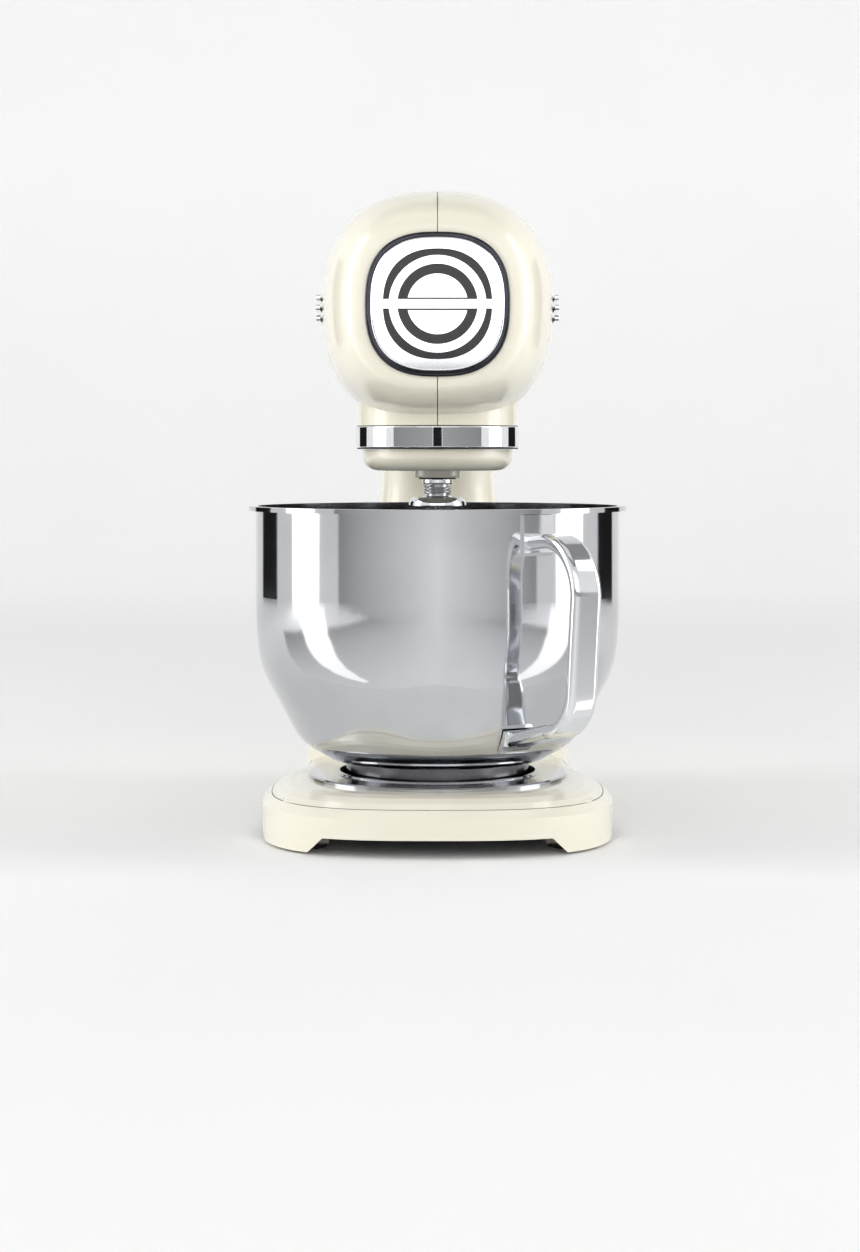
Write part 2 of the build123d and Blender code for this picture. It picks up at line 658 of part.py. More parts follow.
OUTER_LAST = TAIL_REACH - 0.35
INNER_FIRST = NOSE_REACH + 3.5
INNER_LAST = TAIL_REACH - 5.0

with BuildPart() as head_body:
    for reach in tapered_reaches(NOSE_REACH, OUTER_LAST):
        half_w, half_h, centre, power = head_section(reach)
        with BuildSketch(front_plane(BOWL_Y + reach)):
            with BuildLine():
                Spline(*superellipse(half_w, half_h, power, centre), periodic=True)
            make_face()
    loft()
    # neck that carries the planetary drive
    with BuildSketch(Plane.XY.offset(NECK_BOTTOM)):
        with Locations((0, BOWL_Y)):
            Circle(NECK_RADIUS)
    extrude(amount=50)
    # hollow inside
    for reach in tapered_reaches(INNER_FIRST, INNER_LAST):
        half_w, half_h, centre, power = head_section(reach, WALL)
        with BuildSketch(front_plane(BOWL_Y + reach)):
            with BuildLine():
                Spline(*superellipse(half_w, half_h, power, centre), periodic=True)
            make_face()
    loft(mode=Mode.SUBTRACT)
    with BuildSketch(Plane.XY.offset(NECK_BOTTOM - 1)):
        with Locations((0, BOWL_Y)):
            Circle(NECK_RADIUS - WALL)
    extrude(amount=40, mode=Mode.SUBTRACT)
    # nose opening behind the bezel
    with BuildSketch(front_plane(BOWL_Y + NOSE_REACH - 2)):
        with BuildLine():
            Spline(*superellipse(36.5, 36.5, 2.6, NOSE_Z), periodic=True)
        make_face()
    extrude(amount=-20, mode=Mode.SUBTRACT)
    # opening round the hinge knuckle and its stem
    with Locations((0, HINGE_Y, HINGE_Z)):
        Sphere(KNUCKLE_RADIUS + 0.4, mode=Mode.SUBTRACT)
    with BuildSketch(Plane.XY.offset(HINGE_Z)):
        with Locations((0, HINGE_Y)):
            Circle(KNUCKLE_STEM + 0.4)
    extrude(amount=30, mode=Mode.SUBTRACT)
    # slot for the speed lever in the crown of the tail
    with BuildSketch(Plane.XY.offset(LEVER_Z + 10)):
        with Locations((0, SLOT_Y)):
            SlotOverall(46, 9, rotation=90)
    extrude(amount=60, mode=Mode.SUBTRACT)
    # joint between the two halves
    with BuildSketch(Plane.XY.offset(200)):
        Rectangle(SEAM, 600)
    extrude(amount=200, mode=Mode.SUBTRACT)
shell_halves = head_body.part.solids().sort_by(Axis.X)

with BuildPart() as head_shell_right:
    add(shell_halves[-1])
head_shell_right.part.label = "head_shell_right"
export_step(head_shell_right.part, "parts/head_shell_right.step")

with BuildPart() as head_shell_left:
    add(shell_halves[0])
head_shell_left.part.label = "head_shell_left"
export_step(head_shell_left.part, "parts/head_shell_left.step")

# ---------------------------------------------------------------- head: frame
with BuildPart() as tilt_knuckle:
    with Locations((0, HINGE_Y, HINGE_Z)):
        Sphere(KNUCKLE_RADIUS)
    with BuildSketch(Plane.XY.offset(HINGE_Z)):
        with Locations((0, HINGE_Y)):
            Circle(KNUCKLE_STEM)
    extrude(amount=PLATE_BOTTOM - HINGE_Z)
    with Locations((0, HINGE_Y, HINGE_Z)):
        Cylinder(BUSH_RADIUS, 80, rotation=(0, 90, 0), mode=Mode.SUBTRACT)
    with Locations((0, HINGE_Y, PLATE_BOTTOM - 6)):
        with PolarLocations(15, 4, start_angle=45):
            Cylinder(2.0, 14, mode=Mode.SUBTRACT)
tilt_knuckle.part.label = "tilt_knuckle"
export_step(tilt_knuckle.part, "parts/tilt_knuckle.step")

with BuildPart() as hinge_bushes:
    with Locations((17, HINGE_Y, HINGE_Z), (-17, HINGE_Y, HINGE_Z)):
        Cylinder(BUSH_RADIUS, 18, rotation=(0, 90, 0))
    with Locations((0, HINGE_Y, HINGE_Z)):
        Cylinder(PIN_RADIUS + 0.03, 80, rotation=(0, 90, 0), mode=Mode.SUBTRACT)
hinge_bushes.part.label = "hinge_bushes"
export_step(hinge_bushes.part, "parts/hinge_bushes.step")

with BuildPart() as chassis_plate:
    with BuildSketch(Plane.XY.offset(PLATE_BOTTOM)):
        with BuildLine():
            Polyline((-22, BOWL_Y - 62), (22, BOWL_Y - 62), (33, BOWL_Y - 36), (33, BOWL_Y + 160),
                     (28, BOWL_Y + 192), (-28, BOWL_Y + 192), (-33, BOWL_Y + 160),
                     (-33, BOWL_Y - 36), close=True)
        chassis_face = make_face()
        fillet(chassis_face.vertices(), 4)
        with Locations((0, BOWL_Y)):
            Circle(HOUSING_TUBE + 0.1, mode=Mode.SUBTRACT)
        with Locations((0, BOWL_Y + DRIVE_OFFSET)):
            Circle(9.1, mode=Mode.SUBTRACT)
        with Locations((0, BOWL_Y + 100)):
            SlotOverall(44, 12, mode=Mode.SUBTRACT)
        with Locations((0, HINGE_Y)):
            with PolarLocations(15, 4, start_angle=45):
                Circle(2.2, mode=Mode.SUBTRACT)
        with Locations((0, BOWL_Y)):
            with PolarLocations(28.5, 4, start_angle=45):
                Circle(1.8, mode=Mode.SUBTRACT)
    extrude(amount=PLATE_TOP - PLATE_BOTTOM)
chassis_plate.part.label = "chassis_plate"
export_step(chassis_plate.part, "parts/chassis_plate.step")

with BuildPart() as chassis_screws:
    for screw_radius, screw_bottom, screw_height in ((1.95, PLATE_BOTTOM - 9, 13), (3.6, PLATE_TOP, 2.4)):
        with BuildSketch(Plane.XY.offset(screw_bottom)):
            with Locations((0, HINGE_Y)):
                with PolarLocations(15, 4, start_angle=45):
                    Circle(screw_radius)
        extrude(amount=screw_height)
    for screw_radius, screw_bottom, screw_height in ((1.55, PLATE_BOTTOM - 3.5, 7.5), (2.8, PLATE_TOP, 1.8)):
        with BuildSketch(Plane.XY.offset(screw_bottom)):
            with Locations((0, BOWL_Y)):
                with PolarLocations(28.5, 4, start_angle=45):
                    Circle(screw_radius)
        extrude(amount=screw_height)
chassis_screws.part.label = "chassis_screws"
export_step(chassis_screws.part, "parts/chassis_screws.step")

# housing of the planetary drive, hung under the chassis plate
with BuildPart() as drive_housing:
    with BuildSketch(side_plane()):
        with BuildLine():
            Polyline((BOWL_Y + SHAFT_BEARING, 236.0), (BOWL_Y + 43.4, 236.0), (BOWL_Y + 43.4, 240.0),
                     (BOWL_Y + 24, 240.0), (BOWL_Y + 24, 252.0), (BOWL_Y + 34, 252.0),
                     (BOWL_Y + 34, PLATE_BOTTOM), (BOWL_Y + HOUSING_TUBE, PLATE_BOTTOM),
                     (BOWL_Y + HOUSING_TUBE, 262.0), (BOWL_Y + SHAFT_BEARING, 262.0),
                     (BOWL_Y + SHAFT_BEARING, 253.0), (BOWL_Y + SHAFT_BEARING - 2, 253.0),
                     (BOWL_Y + SHAFT_BEARING - 2, 244.0), (BOWL_Y + SHAFT_BEARING, 244.0), close=True)
        make_face()
    revolve(axis=bowl_axis())
    with BuildSketch(Plane.XY.offset(251)):
        with Locations((0, BOWL_Y)):
            with PolarLocations(28.5, 4, start_angle=45):
                Circle(1.6)
        with Locations((0, BOWL_Y + DRIVE_OFFSET)):
            Circle(9.6)
    extrude(amount=10, mode=Mode.SUBTRACT)
drive_housing.part.label = "drive_housing"
export_step(drive_housing.part, "parts/drive_housing.step")

with BuildPart() as shaft_bearings:
    with BuildSketch(Plane.XY.offset(236.6)):
        with Locations((0, BOWL_Y)):
            Circle(SHAFT_BEARING)
            Circle(HUB_SHAFT + 0.03, mode=Mode.SUBTRACT)
    extrude(amount=7)
    with BuildSketch(Plane.XY.offset(253.6)):
        with Locations((0, BOWL_Y)):
            Circle(SHAFT_BEARING)
            Circle(HUB_SHAFT + 0.03, mode=Mode.SUBTRACT)
    extrude(amount=7)
shaft_bearings.part.label = "shaft_bearings"
export_step(shaft_bearings.part, "parts/shaft_bearings.step")

with BuildPart() as ring_gear:
    with BuildSketch(Plane.XY.offset(225.0)):
        with Locations((0, BOWL_Y)):
            Circle(44.9)
        with BuildLine():
            Polyline(*gear_points(BOWL_Y, RING_TEETH, MODULE, addendum=1.2, dedendum=0.95, backlash=-0.15),
                     close=True)
        make_face(mode=Mode.SUBTRACT)
    extrude(amount=10.8)
ring_gear.part.label = "ring_gear"
export_step(ring_gear.part, "parts/ring_gear.step")

with BuildPart() as hub_band:
    with BuildSketch(side_plane()):
        with Locations((BOWL_Y + (45.2 + BAND_RADIUS) / 2, (BAND_BOTTOM + 236.0) / 2)):
            RectangleRounded(BAND_RADIUS - 45.2, 236.0 - BAND_BOTTOM, 0.8)
    revolve(axis=bowl_axis())
hub_band.part.label = "hub_band"
export_step(hub_band.part, "parts/hub_band.step")

# ---------------------------------------------------------------- head: motor and belt
with BuildPart() as motor_mount:
    with BuildSketch(Plane.XY.offset(MOTOR_Z - 4)):
        with Locations((0, BOWL_Y + MOTOR_OFFSET)):
            Circle(MOTOR_RADIUS)
            Circle(12, mode=Mode.SUBTRACT)
    extrude(amount=3.6)
    with BuildSketch(Plane.XY.offset(PLATE_TOP)):
        with Locations((0, BOWL_Y + MOTOR_OFFSET)):
            with GridLocations(54, 30, 2, 2):
                Circle(4)
    extrude(amount=MOTOR_Z - 4 - PLATE_TOP)
motor_mount.part.label = "motor_mount"
export_step(motor_mount.part, "parts/motor_mount.step")

with BuildPart() as motor_can:
    with BuildSketch(Plane.XY.offset(MOTOR_Z)):
        with Locations((0, BOWL_Y + MOTOR_OFFSET)):
            Circle(MOTOR_RADIUS)
    extrude(amount=MOTOR_HEIGHT - 6)
    fillet(motor_can.edges().group_by(Axis.Z)[0], 2)
    with BuildSketch(Plane.XY.offset(MOTOR_Z + 3)):
        with Locations((0, BOWL_Y + MOTOR_OFFSET)):
            Circle(MOTOR_RADIUS - 2)
    extrude(amount=MOTOR_HEIGHT, mode=Mode.SUBTRACT)
    with BuildSketch(Plane.XY.offset(MOTOR_Z - 1)):
        with Locations((0, BOWL_Y + MOTOR_OFFSET)):
            Circle(8)
            with PolarLocations(22, 6):
                SlotOverall(14, 5, rotation=90)
    extrude(amount=6, mode=Mode.SUBTRACT)
motor_can.part.label = "motor_can"
export_step(motor_can.part, "parts/motor_can.step")

with BuildPart() as motor_end_cover:
    with BuildSketch(Plane.XY.offset(MOTOR_Z + MOTOR_HEIGHT - 5.9)):
        with Locations((0, BOWL_Y + MOTOR_OFFSET)):
            Circle(MOTOR_RADIUS)
            Circle(8, mode=Mode.SUBTRACT)
            with PolarLocations(22, 8):
                SlotOverall(16, 6, rotation=0, mode=Mode.SUBTRACT)
    extrude(amount=4)
motor_end_cover.part.label = "motor_end_cover"
export_step(motor_end_cover.part, "parts/motor_end_cover.step")

with BuildPart() as stator_core:
    with BuildSketch(Plane.XY.offset(MOTOR_Z + 10)):
        with Locations((0, BOWL_Y + MOTOR_OFFSET)):
            Circle(MOTOR_RADIUS - 2.1)
            Circle(22.5, mode=Mode.SUBTRACT)
            with PolarLocations(26.5, 2):
                RectangleRounded(7, 22, 2, mode=Mode.SUBTRACT)
    extrude(amount=32)
stator_core.part.label = "stator_core"
export_step(stator_core.part, "parts/stator_core.step")

with BuildPart() as motor_bearings:
    for bearing_z in (MOTOR_Z, MOTOR_Z + MOTOR_HEIGHT - 5.9):
        with BuildSketch(Plane.XY.offset(bearing_z)):
            with Locations((0, BOWL_Y + MOTOR_OFFSET)):
                Circle(7.95)
                Circle(3.03, mode=Mode.SUBTRACT)
        extrude(amount=3)
motor_bearings.part.label = "motor_bearings"
export_step(motor_bearings.part, "parts/motor_bearings.step")

with BuildPart() as motor_rotor:
    with BuildSketch(Plane.XY.offset(MOTOR_Z + 12)):
        with Locations((0, BOWL_Y + MOTOR_OFFSET)):
            Circle(21.8)
            with PolarLocations(19.5, 12):
                Rectangle(5, 2.4, mode=Mode.SUBTRACT)
    extrude(amount=28)
    with BuildSketch(Plane.XY.offset(MOTOR_Z + 41)):
        with Locations((0, BOWL_Y + MOTOR_OFFSET)):
            Circle(11)
    extrude(amount=8)
    with BuildSketch(Plane.XY.offset(BELT_Z)):
        with Locations((0, BOWL_Y + MOTOR_OFFSET)):
            Circle(3)
    extrude(amount=MOTOR_Z + MOTOR_HEIGHT - BELT_Z - 1)
motor_rotor.part.label = "motor_rotor"
export_step(motor_rotor.part, "parts/motor_rotor.step")


def pulley_profile(radius, bore):
    """Half section of a flanged belt pulley, from its bore outwards."""
    return [(bore, 0), (radius + 2.2, 0), (radius + 2.2, 1.0), (radius, 1.4), (radius, 9.2),
            (radius + 2.2, 9.6), (radius + 2.2, 10.6), (bore, 10.6)]


for pulley_name, pulley_radius, pulley_bore, pulley_y in (
        ("motor_pulley", SMALL_PULLEY, 3.0, BOWL_Y + MOTOR_OFFSET),
        ("belt_wheel", SMALL_PULLEY * BELT_RATIO, 5.0, BOWL_Y + DRIVE_OFFSET)):
    with BuildPart() as pulley:
        with BuildSketch(side_plane()):
            with BuildLine():
                pulley_half = pulley_profile(pulley_radius, pulley_bore)
                Polyline(*[(pulley_y + r, BELT_Z + z) for r, z in pulley_half], close=True)
            make_face()
        revolve(axis=Axis((0, pulley_y, 0), (0, 0, 1)))
        if pulley_radius > 20:
            with BuildSketch(Plane.XY.offset(BELT_Z)):
                with Locations((0, pulley_y)):
                    with PolarLocations(17, 6):
                        Circle(4.5)
            extrude(amount=12, mode=Mode.SUBTRACT)
    pulley.part.label = pulley_name
    export_step(pulley.part, f"parts/{pulley_name}.step")


def belt_outline(extra):
    """The open belt round both pulleys, as an outline grown by extra."""
    small = SMALL_PULLEY + 0.3 + extra
    large = SMALL_PULLEY * BELT_RATIO + 0.3 + extra
    span = MOTOR_OFFSET - DRIVE_OFFSET
    lean = asin((large - small) / span)
    large_y = BOWL_Y + DRIVE_OFFSET
    small_y = BOWL_Y + MOTOR_OFFSET
    touch_large = (large * cos(lean), large_y + large * sin(lean))
    touch_small = (small * cos(lean), small_y + small * sin(lean))
    return touch_large, touch_small, large_y - large, small_y + small


with BuildPart() as drive_belt:
    with BuildSketch(Plane.XY.offset(BELT_Z + 1.8)):
        for extra, belt_mode in ((1.5, Mode.ADD), (0.0, Mode.SUBTRACT)):
            touch_large, touch_small, near, far = belt_outline(extra)
            with BuildLine():
                Line(touch_large, touch_small)
                ThreePointArc(touch_small, (0, far), (-touch_small[0], touch_small[1]))
                Line((-touch_small[0], touch_small[1]), (-touch_large[0], touch_large[1]))
                ThreePointArc((-touch_large[0], touch_large[1]), (0, near), touch_large)
            make_face(mode=belt_mode)
    extrude(amount=7)
drive_belt.part.label = "drive_belt"
export_step(drive_belt.part, "parts/drive_belt.step")

DRIVE_PHASE = 18.0
with BuildPart() as drive_pinion:
    with BuildSketch(Plane.XY.offset(MAIN_GEAR_Z - 0.5)):
        with BuildLine():
            Polyline(*gear_points(BOWL_Y + DRIVE_OFFSET, DRIVE_TEETH, MODULE, DRIVE_PHASE), close=True)
        make_face()
    extrude(amount=9)
    with BuildSketch(Plane.XY.offset(250.5)):
        with Locations((0, BOWL_Y + DRIVE_OFFSET)):
            Circle(5)
    extrude(amount=BELT_Z + 12 - 250.5)
drive_pinion.part.label = "drive_pinion"
export_step(drive_pinion.part, "parts/drive_pinion.step")

with BuildPart() as pinion_bearing:
    with BuildSketch(Plane.XY.offset(252.5)):
        with Locations((0, BOWL_Y + DRIVE_OFFSET)):
            Circle(9.05)
            Circle(5.03, mode=Mode.SUBTRACT)
    extrude(amount=8)
pinion_bearing.part.label = "pinion_bearing"
export_step(pinion_bearing.part, "parts/pinion_bearing.step")

with BuildPart() as control_board:
    with BuildSketch(front_plane(BOWL_Y + 172, 300)):
        RectangleRounded(64, 46, 2)
    extrude(amount=-1.6)
    with BuildSketch(front_plane(BOWL_Y + 172, 300)):
        with Locations((-16, 8)):
            Circle(8)
        with Locations((14, -6)):
            Rectangle(20, 14)
        with Locations((14, 12)):
            Rectangle(12, 8)
    extrude(amount=9)
control_board.part.label = "control_board"
export_step(control_board.part, "parts/control_board.step")

# ---------------------------------------------------------------- planetary hub
with BuildPart() as hub_cup:
    with BuildSketch(side_plane()) as cup_half:
        with BuildLine():
            Polyline((BOWL_Y, CUP_BOTTOM), (BOWL_Y + CUP_RADIUS, CUP_BOTTOM),
                     (BOWL_Y + CUP_RADIUS, CUP_TOP), (BOWL_Y, CUP_TOP), close=True)
        make_face()
        fillet(cup_half.vertices().sort_by(Axis.X)[-2:].sort_by(Axis.Y)[0], 9.0)
    revolve(axis=bowl_axis())
    with BuildSketch(Plane.XY.offset(BOSS_BOTTOM)):
        with Locations((0, SPINDLE_Y)):
            Circle(BOSS_RADIUS)
    extrude(amount=6)
    fillet(hub_cup.edges().group_by(Axis.Z)[0], 1.2)
    with BuildSketch(Plane.XY.offset(BOSS_BOTTOM)):
        with Locations((0, SPINDLE_Y)):
            Circle(SPINDLE_BEARING)
    extrude(amount=30, mode=Mode.SUBTRACT)
    with BuildSketch(Plane.XY.offset(CUP_TOP - 5)):
        with Locations((0, BOWL_Y)):
            Circle(HUB_SHAFT)
    extrude(amount=5, mode=Mode.SUBTRACT)
    # balance pocket opposite the spindle
    with BuildSketch(Plane.XY.offset(CUP_TOP - 6)):
        with Locations((0, BOWL_Y - 24)):
            SlotOverall(34, 16)
    extrude(amount=6, mode=Mode.SUBTRACT)
hub_cup.part.label = "hub_cup"
export_step(hub_cup.part, "parts/hub_cup.step")

with BuildPart() as hub_shaft:
    with BuildSketch(Plane.XY.offset(CUP_TOP - 5)):
        with Locations((0, BOWL_Y)):
            Circle(HUB_SHAFT)
    extrude(amount=MAIN_GEAR_Z + 10 - CUP_TOP + 5)
    chamfer(hub_shaft.edges().group_by(Axis.Z)[-1], 0.8)
hub_shaft.part.label = "hub_shaft"
export_step(hub_shaft.part, "parts/hub_shaft.step")

with BuildPart() as main_gear:
    with BuildSketch(Plane.XY.offset(MAIN_GEAR_Z)):
        with BuildLine():
            Polyline(*gear_points(BOWL_Y, MAIN_TEETH, MODULE), close=True)
        make_face()
        with Locations((0, BOWL_Y)):
            Circle(HUB_SHAFT, mode=Mode.SUBTRACT)
            with PolarLocations(22, 6):
                Circle(6, mode=Mode.SUBTRACT)
    extrude(amount=8)
main_gear.part.label = "main_gear"
export_step(main_gear.part, "parts/main_gear.step")

with BuildPart() as spindle_bearings:
    for bearing_z in (207.4, 216.0):
        with BuildSketch(Plane.XY.offset(bearing_z)):
            with Locations((0, SPINDLE_Y)):
                Circle(SPINDLE_BEARING)
                Circle(SPINDLE_RADIUS + 0.03, mode=Mode.SUBTRACT)
        extrude(amount=6)
spindle_bearings.part.label = "spindle_bearings"
export_step(spindle_bearings.part, "parts/spindle_bearings.step")

with BuildPart() as spindle_seal:
    with BuildSketch(Plane.XY.offset(BOSS_BOTTOM - 0.9)):
        with Locations((0, SPINDLE_Y)):
            Circle(SPINDLE_BEARING)
            Circle(SPINDLE_RADIUS + 0.08, mode=Mode.SUBTRACT)
    extrude(amount=2.3)
spindle_seal.part.label = "spindle_seal"
export_step(spindle_seal.part, "parts/spindle_seal.step")

# ---------------------------------------------------------------- spindle and whisk


def spindle_axis():
    return Axis((0, SPINDLE_Y, 0), (0, 0, 1))


with BuildPart() as spindle:
    with BuildSketch(Plane.XY.offset(SPINDLE_END)):
        with Locations((0, SPINDLE_Y)):
            Circle(SPINDLE_RADIUS)
    extrude(amount=235.0 - SPINDLE_END)
    chamfer(spindle.edges().group_by(Axis.Z)[0], 0.8)
    with Locations((0, SPINDLE_Y, PIN_HEIGHT)):
        Cylinder(2.0, 30, rotation=(0, 90, 0), mode=Mode.SUBTRACT)
spindle.part.label = "spindle"
export_step(spindle.part, "parts/spindle.step")

with BuildPart() as planet_pinion:
    with BuildSketch(Plane.XY.offset(226.0)):
        with BuildLine():
            Polyline(*gear_points(SPINDLE_Y, PLANET_TEETH, MODULE), close=True)
        make_face()
        with Locations((0, SPINDLE_Y)):
            Circle(SPINDLE_RADIUS, mode=Mode.SUBTRACT)
    extrude(amount=8)
planet_pinion.part.label = "planet_pinion"
export_step(planet_pinion.part, "parts/planet_pinion.step")

with BuildPart() as spindle_pin:
    with Locations((0, SPINDLE_Y, PIN_HEIGHT)):
        Cylinder(1.95, 22, rotation=(0, 90, 0))
spindle_pin.part.label = "spindle_pin"
export_step(spindle_pin.part, "parts/spindle_pin.step")

with BuildPart() as spindle_collar:
    with BuildSketch(Plane.XY.offset(202.0)):
        with Locations((0, SPINDLE_Y)):
            Circle(9.0)
            Circle(SPINDLE_RADIUS, mode=Mode.SUBTRACT)
    extrude(amount=2.6)
    fillet(spindle_collar.edges().group_by(Axis.Z)[0], 0.9)
spindle_collar.part.label = "spindle_collar"
export_step(spindle_collar.part, "parts/spindle_collar.step")

with BuildPart() as tool_spring:
    with BuildLine(Plane(origin=(0, SPINDLE_Y, 196.0), z_dir=(0, 0, 1))) as tool_spring_path:
        Helix(pitch=1.9, height=5.1, radius=7.5)
    with BuildSketch(Plane(origin=tool_spring_path.line @ 0, z_dir=tool_spring_path.line % 0)):
        Circle(0.7)
    sweep()
tool_spring.part.label = "tool_spring"
export_step(tool_spring.part, "parts/tool_spring.step")

# whisk: a spun cap that twists onto the spindle's pin, and nested wire loops
with BuildPart() as whisk_cap:
    with BuildSketch(side_plane()):
        with BuildLine():
            Polyline((SPINDLE_Y + SPINDLE_RADIUS + 0.2, 195.1), (SPINDLE_Y + 8.6, 195.1),
                     (SPINDLE_Y + 9.0, 194.6), (SPINDLE_Y + 14.6, 194.2))
            Spline((SPINDLE_Y + 14.6, 194.2), (SPINDLE_Y + 16.5, 192.4), (SPINDLE_Y + 16.6, 184),
                   (SPINDLE_Y + 15.0, 172), (SPINDLE_Y + 12.4, 160))
            Polyline((SPINDLE_Y + 12.4, 160), (SPINDLE_Y, 160), (SPINDLE_Y, SPINDLE_END - 1.0),
                     (SPINDLE_Y + SPINDLE_RADIUS + 0.2, SPINDLE_END - 1.0),
                     (SPINDLE_Y + SPINDLE_RADIUS + 0.2, 195.1))
        make_face()
    revolve(axis=spindle_axis())
    with Locations((0, SPINDLE_Y, PIN_HEIGHT)):
        Cylinder(2.2, 23, rotation=(0, 90, 0), mode=Mode.SUBTRACT)
whisk_cap.part.label = "whisk_cap"
export_step(whisk_cap.part, "parts/whisk_cap.step")

with BuildPart() as whisk_wires:
    for loop in range(WHISK_LOOPS):
        loop_radius = WHISK_RADIUS - 2.6 * loop
        top_x = 10.4
        touch_x, touch_z = tangent_side(top_x, 159.4, WHISK_CENTRE, loop_radius)
        turn = radians(180 * loop / WHISK_LOOPS)
        loop_plane = Plane(origin=(0, SPINDLE_Y, 0), x_dir=(cos(turn), sin(turn), 0),
                           z_dir=(sin(turn), -cos(turn), 0))
        with BuildLine(loop_plane) as wire:
            Line((top_x, 159.4), (touch_x, touch_z))
            ThreePointArc((touch_x, touch_z), (0, WHISK_CENTRE - loop_radius), (-touch_x, touch_z))
            Line((-touch_x, touch_z), (-top_x, 159.4))
        with BuildSketch(Plane(origin=wire.line @ 0, z_dir=wire.line % 0)):
            Circle(WIRE_RADIUS)
        sweep()
whisk_wires.part.label = "whisk_wires"
export_step(whisk_wires.part, "parts/whisk_wires.step")

# ---------------------------------------------------------------- nose: bezel, socket, cap
NOSE_Y = BOWL_Y + NOSE_REACH


def rounded_square(half, y):
    """A superelliptic square round the nose axis, in the plane at y."""
    with BuildSketch(front_plane(y)) as square:
        with BuildLine():
            Spline(*superellipse(half, half, 2.6, NOSE_Z), periodic=True)
        make_face()
    return square.sketch


with BuildPart() as nose_bezel:
    extrude(rounded_square(BEZEL_HALF, NOSE_Y - 3.0), amount=-3.0)
    fillet(nose_bezel.edges().group_by(Axis.Y)[0], 1.6)
    extrude(rounded_square(36.1, NOSE_Y), amount=-9.0)
    extrude(rounded_square(34.6, NOSE_Y - 4.0), amount=-15.0, mode=Mode.SUBTRACT)
    extrude(rounded_square(CAP_HALF + 0.5, NOSE_Y - 4.0), amount=-2.6, mode=Mode.SUBTRACT)
nose_bezel.part.label = "nose_bezel"
export_step(nose_bezel.part, "parts/nose_bezel.step")

with BuildPart() as front_cap:
    extrude(rounded_square(CAP_HALF, NOSE_Y - 4.6), amount=-3.1)
    fillet(front_cap.edges().group_by(Axis.Y)[0], 1.2)
    # spigot that snaps into the bezel
    extrude(rounded_square(33.6, NOSE_Y - 1.6), amount=-8.0)
    extrude(rounded_square(31.6, NOSE_Y - 1.2), amount=-9.0, mode=Mode.SUBTRACT)
    # groove round the ring, and the two half-moon wells with their domes
    with BuildSketch(front_plane(NOSE_Y - 6)):
        with BuildLine():
            Spline(*superellipse(CAP_GROOVE, CAP_GROOVE + 0.4, 2.3, NOSE_Z), periodic=True)
        make_face()
        with Locations((0, NOSE_Z)):
            Circle(CAP_RING, mode=Mode.SUBTRACT)
            Rectangle(2 * CAP_HALF, CAP_BAR, mode=Mode.SUBTRACT)
    extrude(amount=-3.6, mode=Mode.SUBTRACT)
    with BuildSketch(front_plane(NOSE_Y - 6)):
        with Locations((0, NOSE_Z)):
            Circle(CAP_WELL)
            Rectangle(60, CAP_BAR, mode=Mode.SUBTRACT)
    extrude(amount=-3.6, mode=Mode.SUBTRACT)
    with BuildSketch(front_plane(NOSE_Y - 3.9)):
        with Locations((0, NOSE_Z)):
            Circle(CAP_DOME)
            Rectangle(60, CAP_BAR + 1.8, mode=Mode.SUBTRACT)
    extrude(amount=-2.2)
front_cap.part.label = "front_cap"
export_step(front_cap.part, "parts/front_cap.step")

with BuildPart() as accessory_socket:
    with BuildSketch(side_plane()):
        with BuildLine():
            Polyline((NOSE_Y + 9.4, SOCKET_Z + SOCKET_BORE), (NOSE_Y + 9.4, SOCKET_Z + 19),
                     (NOSE_Y + 13, SOCKET_Z + 19), (NOSE_Y + 13, SOCKET_Z + 16),
                     (NOSE_Y + 62, SOCKET_Z + 16), (NOSE_Y + 62, SOCKET_Z),
                     (NOSE_Y + 50, SOCKET_Z), (NOSE_Y + 50, SOCKET_Z + SOCKET_BORE), close=True)
        make_face()
    revolve(axis=Axis((0, 0, SOCKET_Z), (0, 1, 0)))
    with BuildSketch(Plane.XY.offset(PLATE_TOP)):
        with Locations((0, NOSE_Y + 24)):
            RectangleRounded(26, 16, 3)
    extrude(amount=SOCKET_Z - 14 - PLATE_TOP)
    # square drive recess at the bottom of the bore
    with BuildSketch(front_plane(NOSE_Y + 59)):
        with Locations((0, SOCKET_Z)):
            Rectangle(8, 8)
    extrude(amount=12, mode=Mode.SUBTRACT)
accessory_socket.part.label = "accessory_socket"
export_step(accessory_socket.part, "parts/accessory_socket.step")

# ---------------------------------------------------------------- head: trim and lever
for trim_name, side in (("side_trim_right", 1), ("side_trim_left", -1)):
    with BuildPart() as side_trim:
        for row in (-1, 0, 1):
            trim_z = TRIM_Z + row * TRIM_PITCH
            half_w, half_h, centre, power = head_section(WIDEST_REACH)
            lift = abs(trim_z - centre) / half_h
            skin = half_w * (1 - lift ** power) ** (1 / power)
            with BuildSketch(side_plane(side * (skin + 0.15))):
                with Locations((BOWL_Y + WIDEST_REACH, trim_z)):
                    RectangleRounded(TRIM_LENGTH - 8 * abs(row), TRIM_HEIGHT, TRIM_HEIGHT / 2 - 0.05)
            extrude(amount=side * TRIM_STAND)
    side_trim.part.label = trim_name
    export_step(side_trim.part, f"parts/{trim_name}.step")

with BuildPart() as lever_bracket:
    with BuildSketch(Plane.XY.offset(PLATE_TOP)):
        with Locations((6.2, LEVER_Y), (-6.2, LEVER_Y)):
            Rectangle(2.4, 12)
    extrude(amount=LEVER_Z + 6 - PLATE_TOP)
    with Locations((0, LEVER_Y, LEVER_Z)):
        Cylinder(2.5, 40, rotation=(0, 90, 0), mode=Mode.SUBTRACT)
lever_bracket.part.label = "lever_bracket"
export_step(lever_bracket.part, "parts/lever_bracket.step")

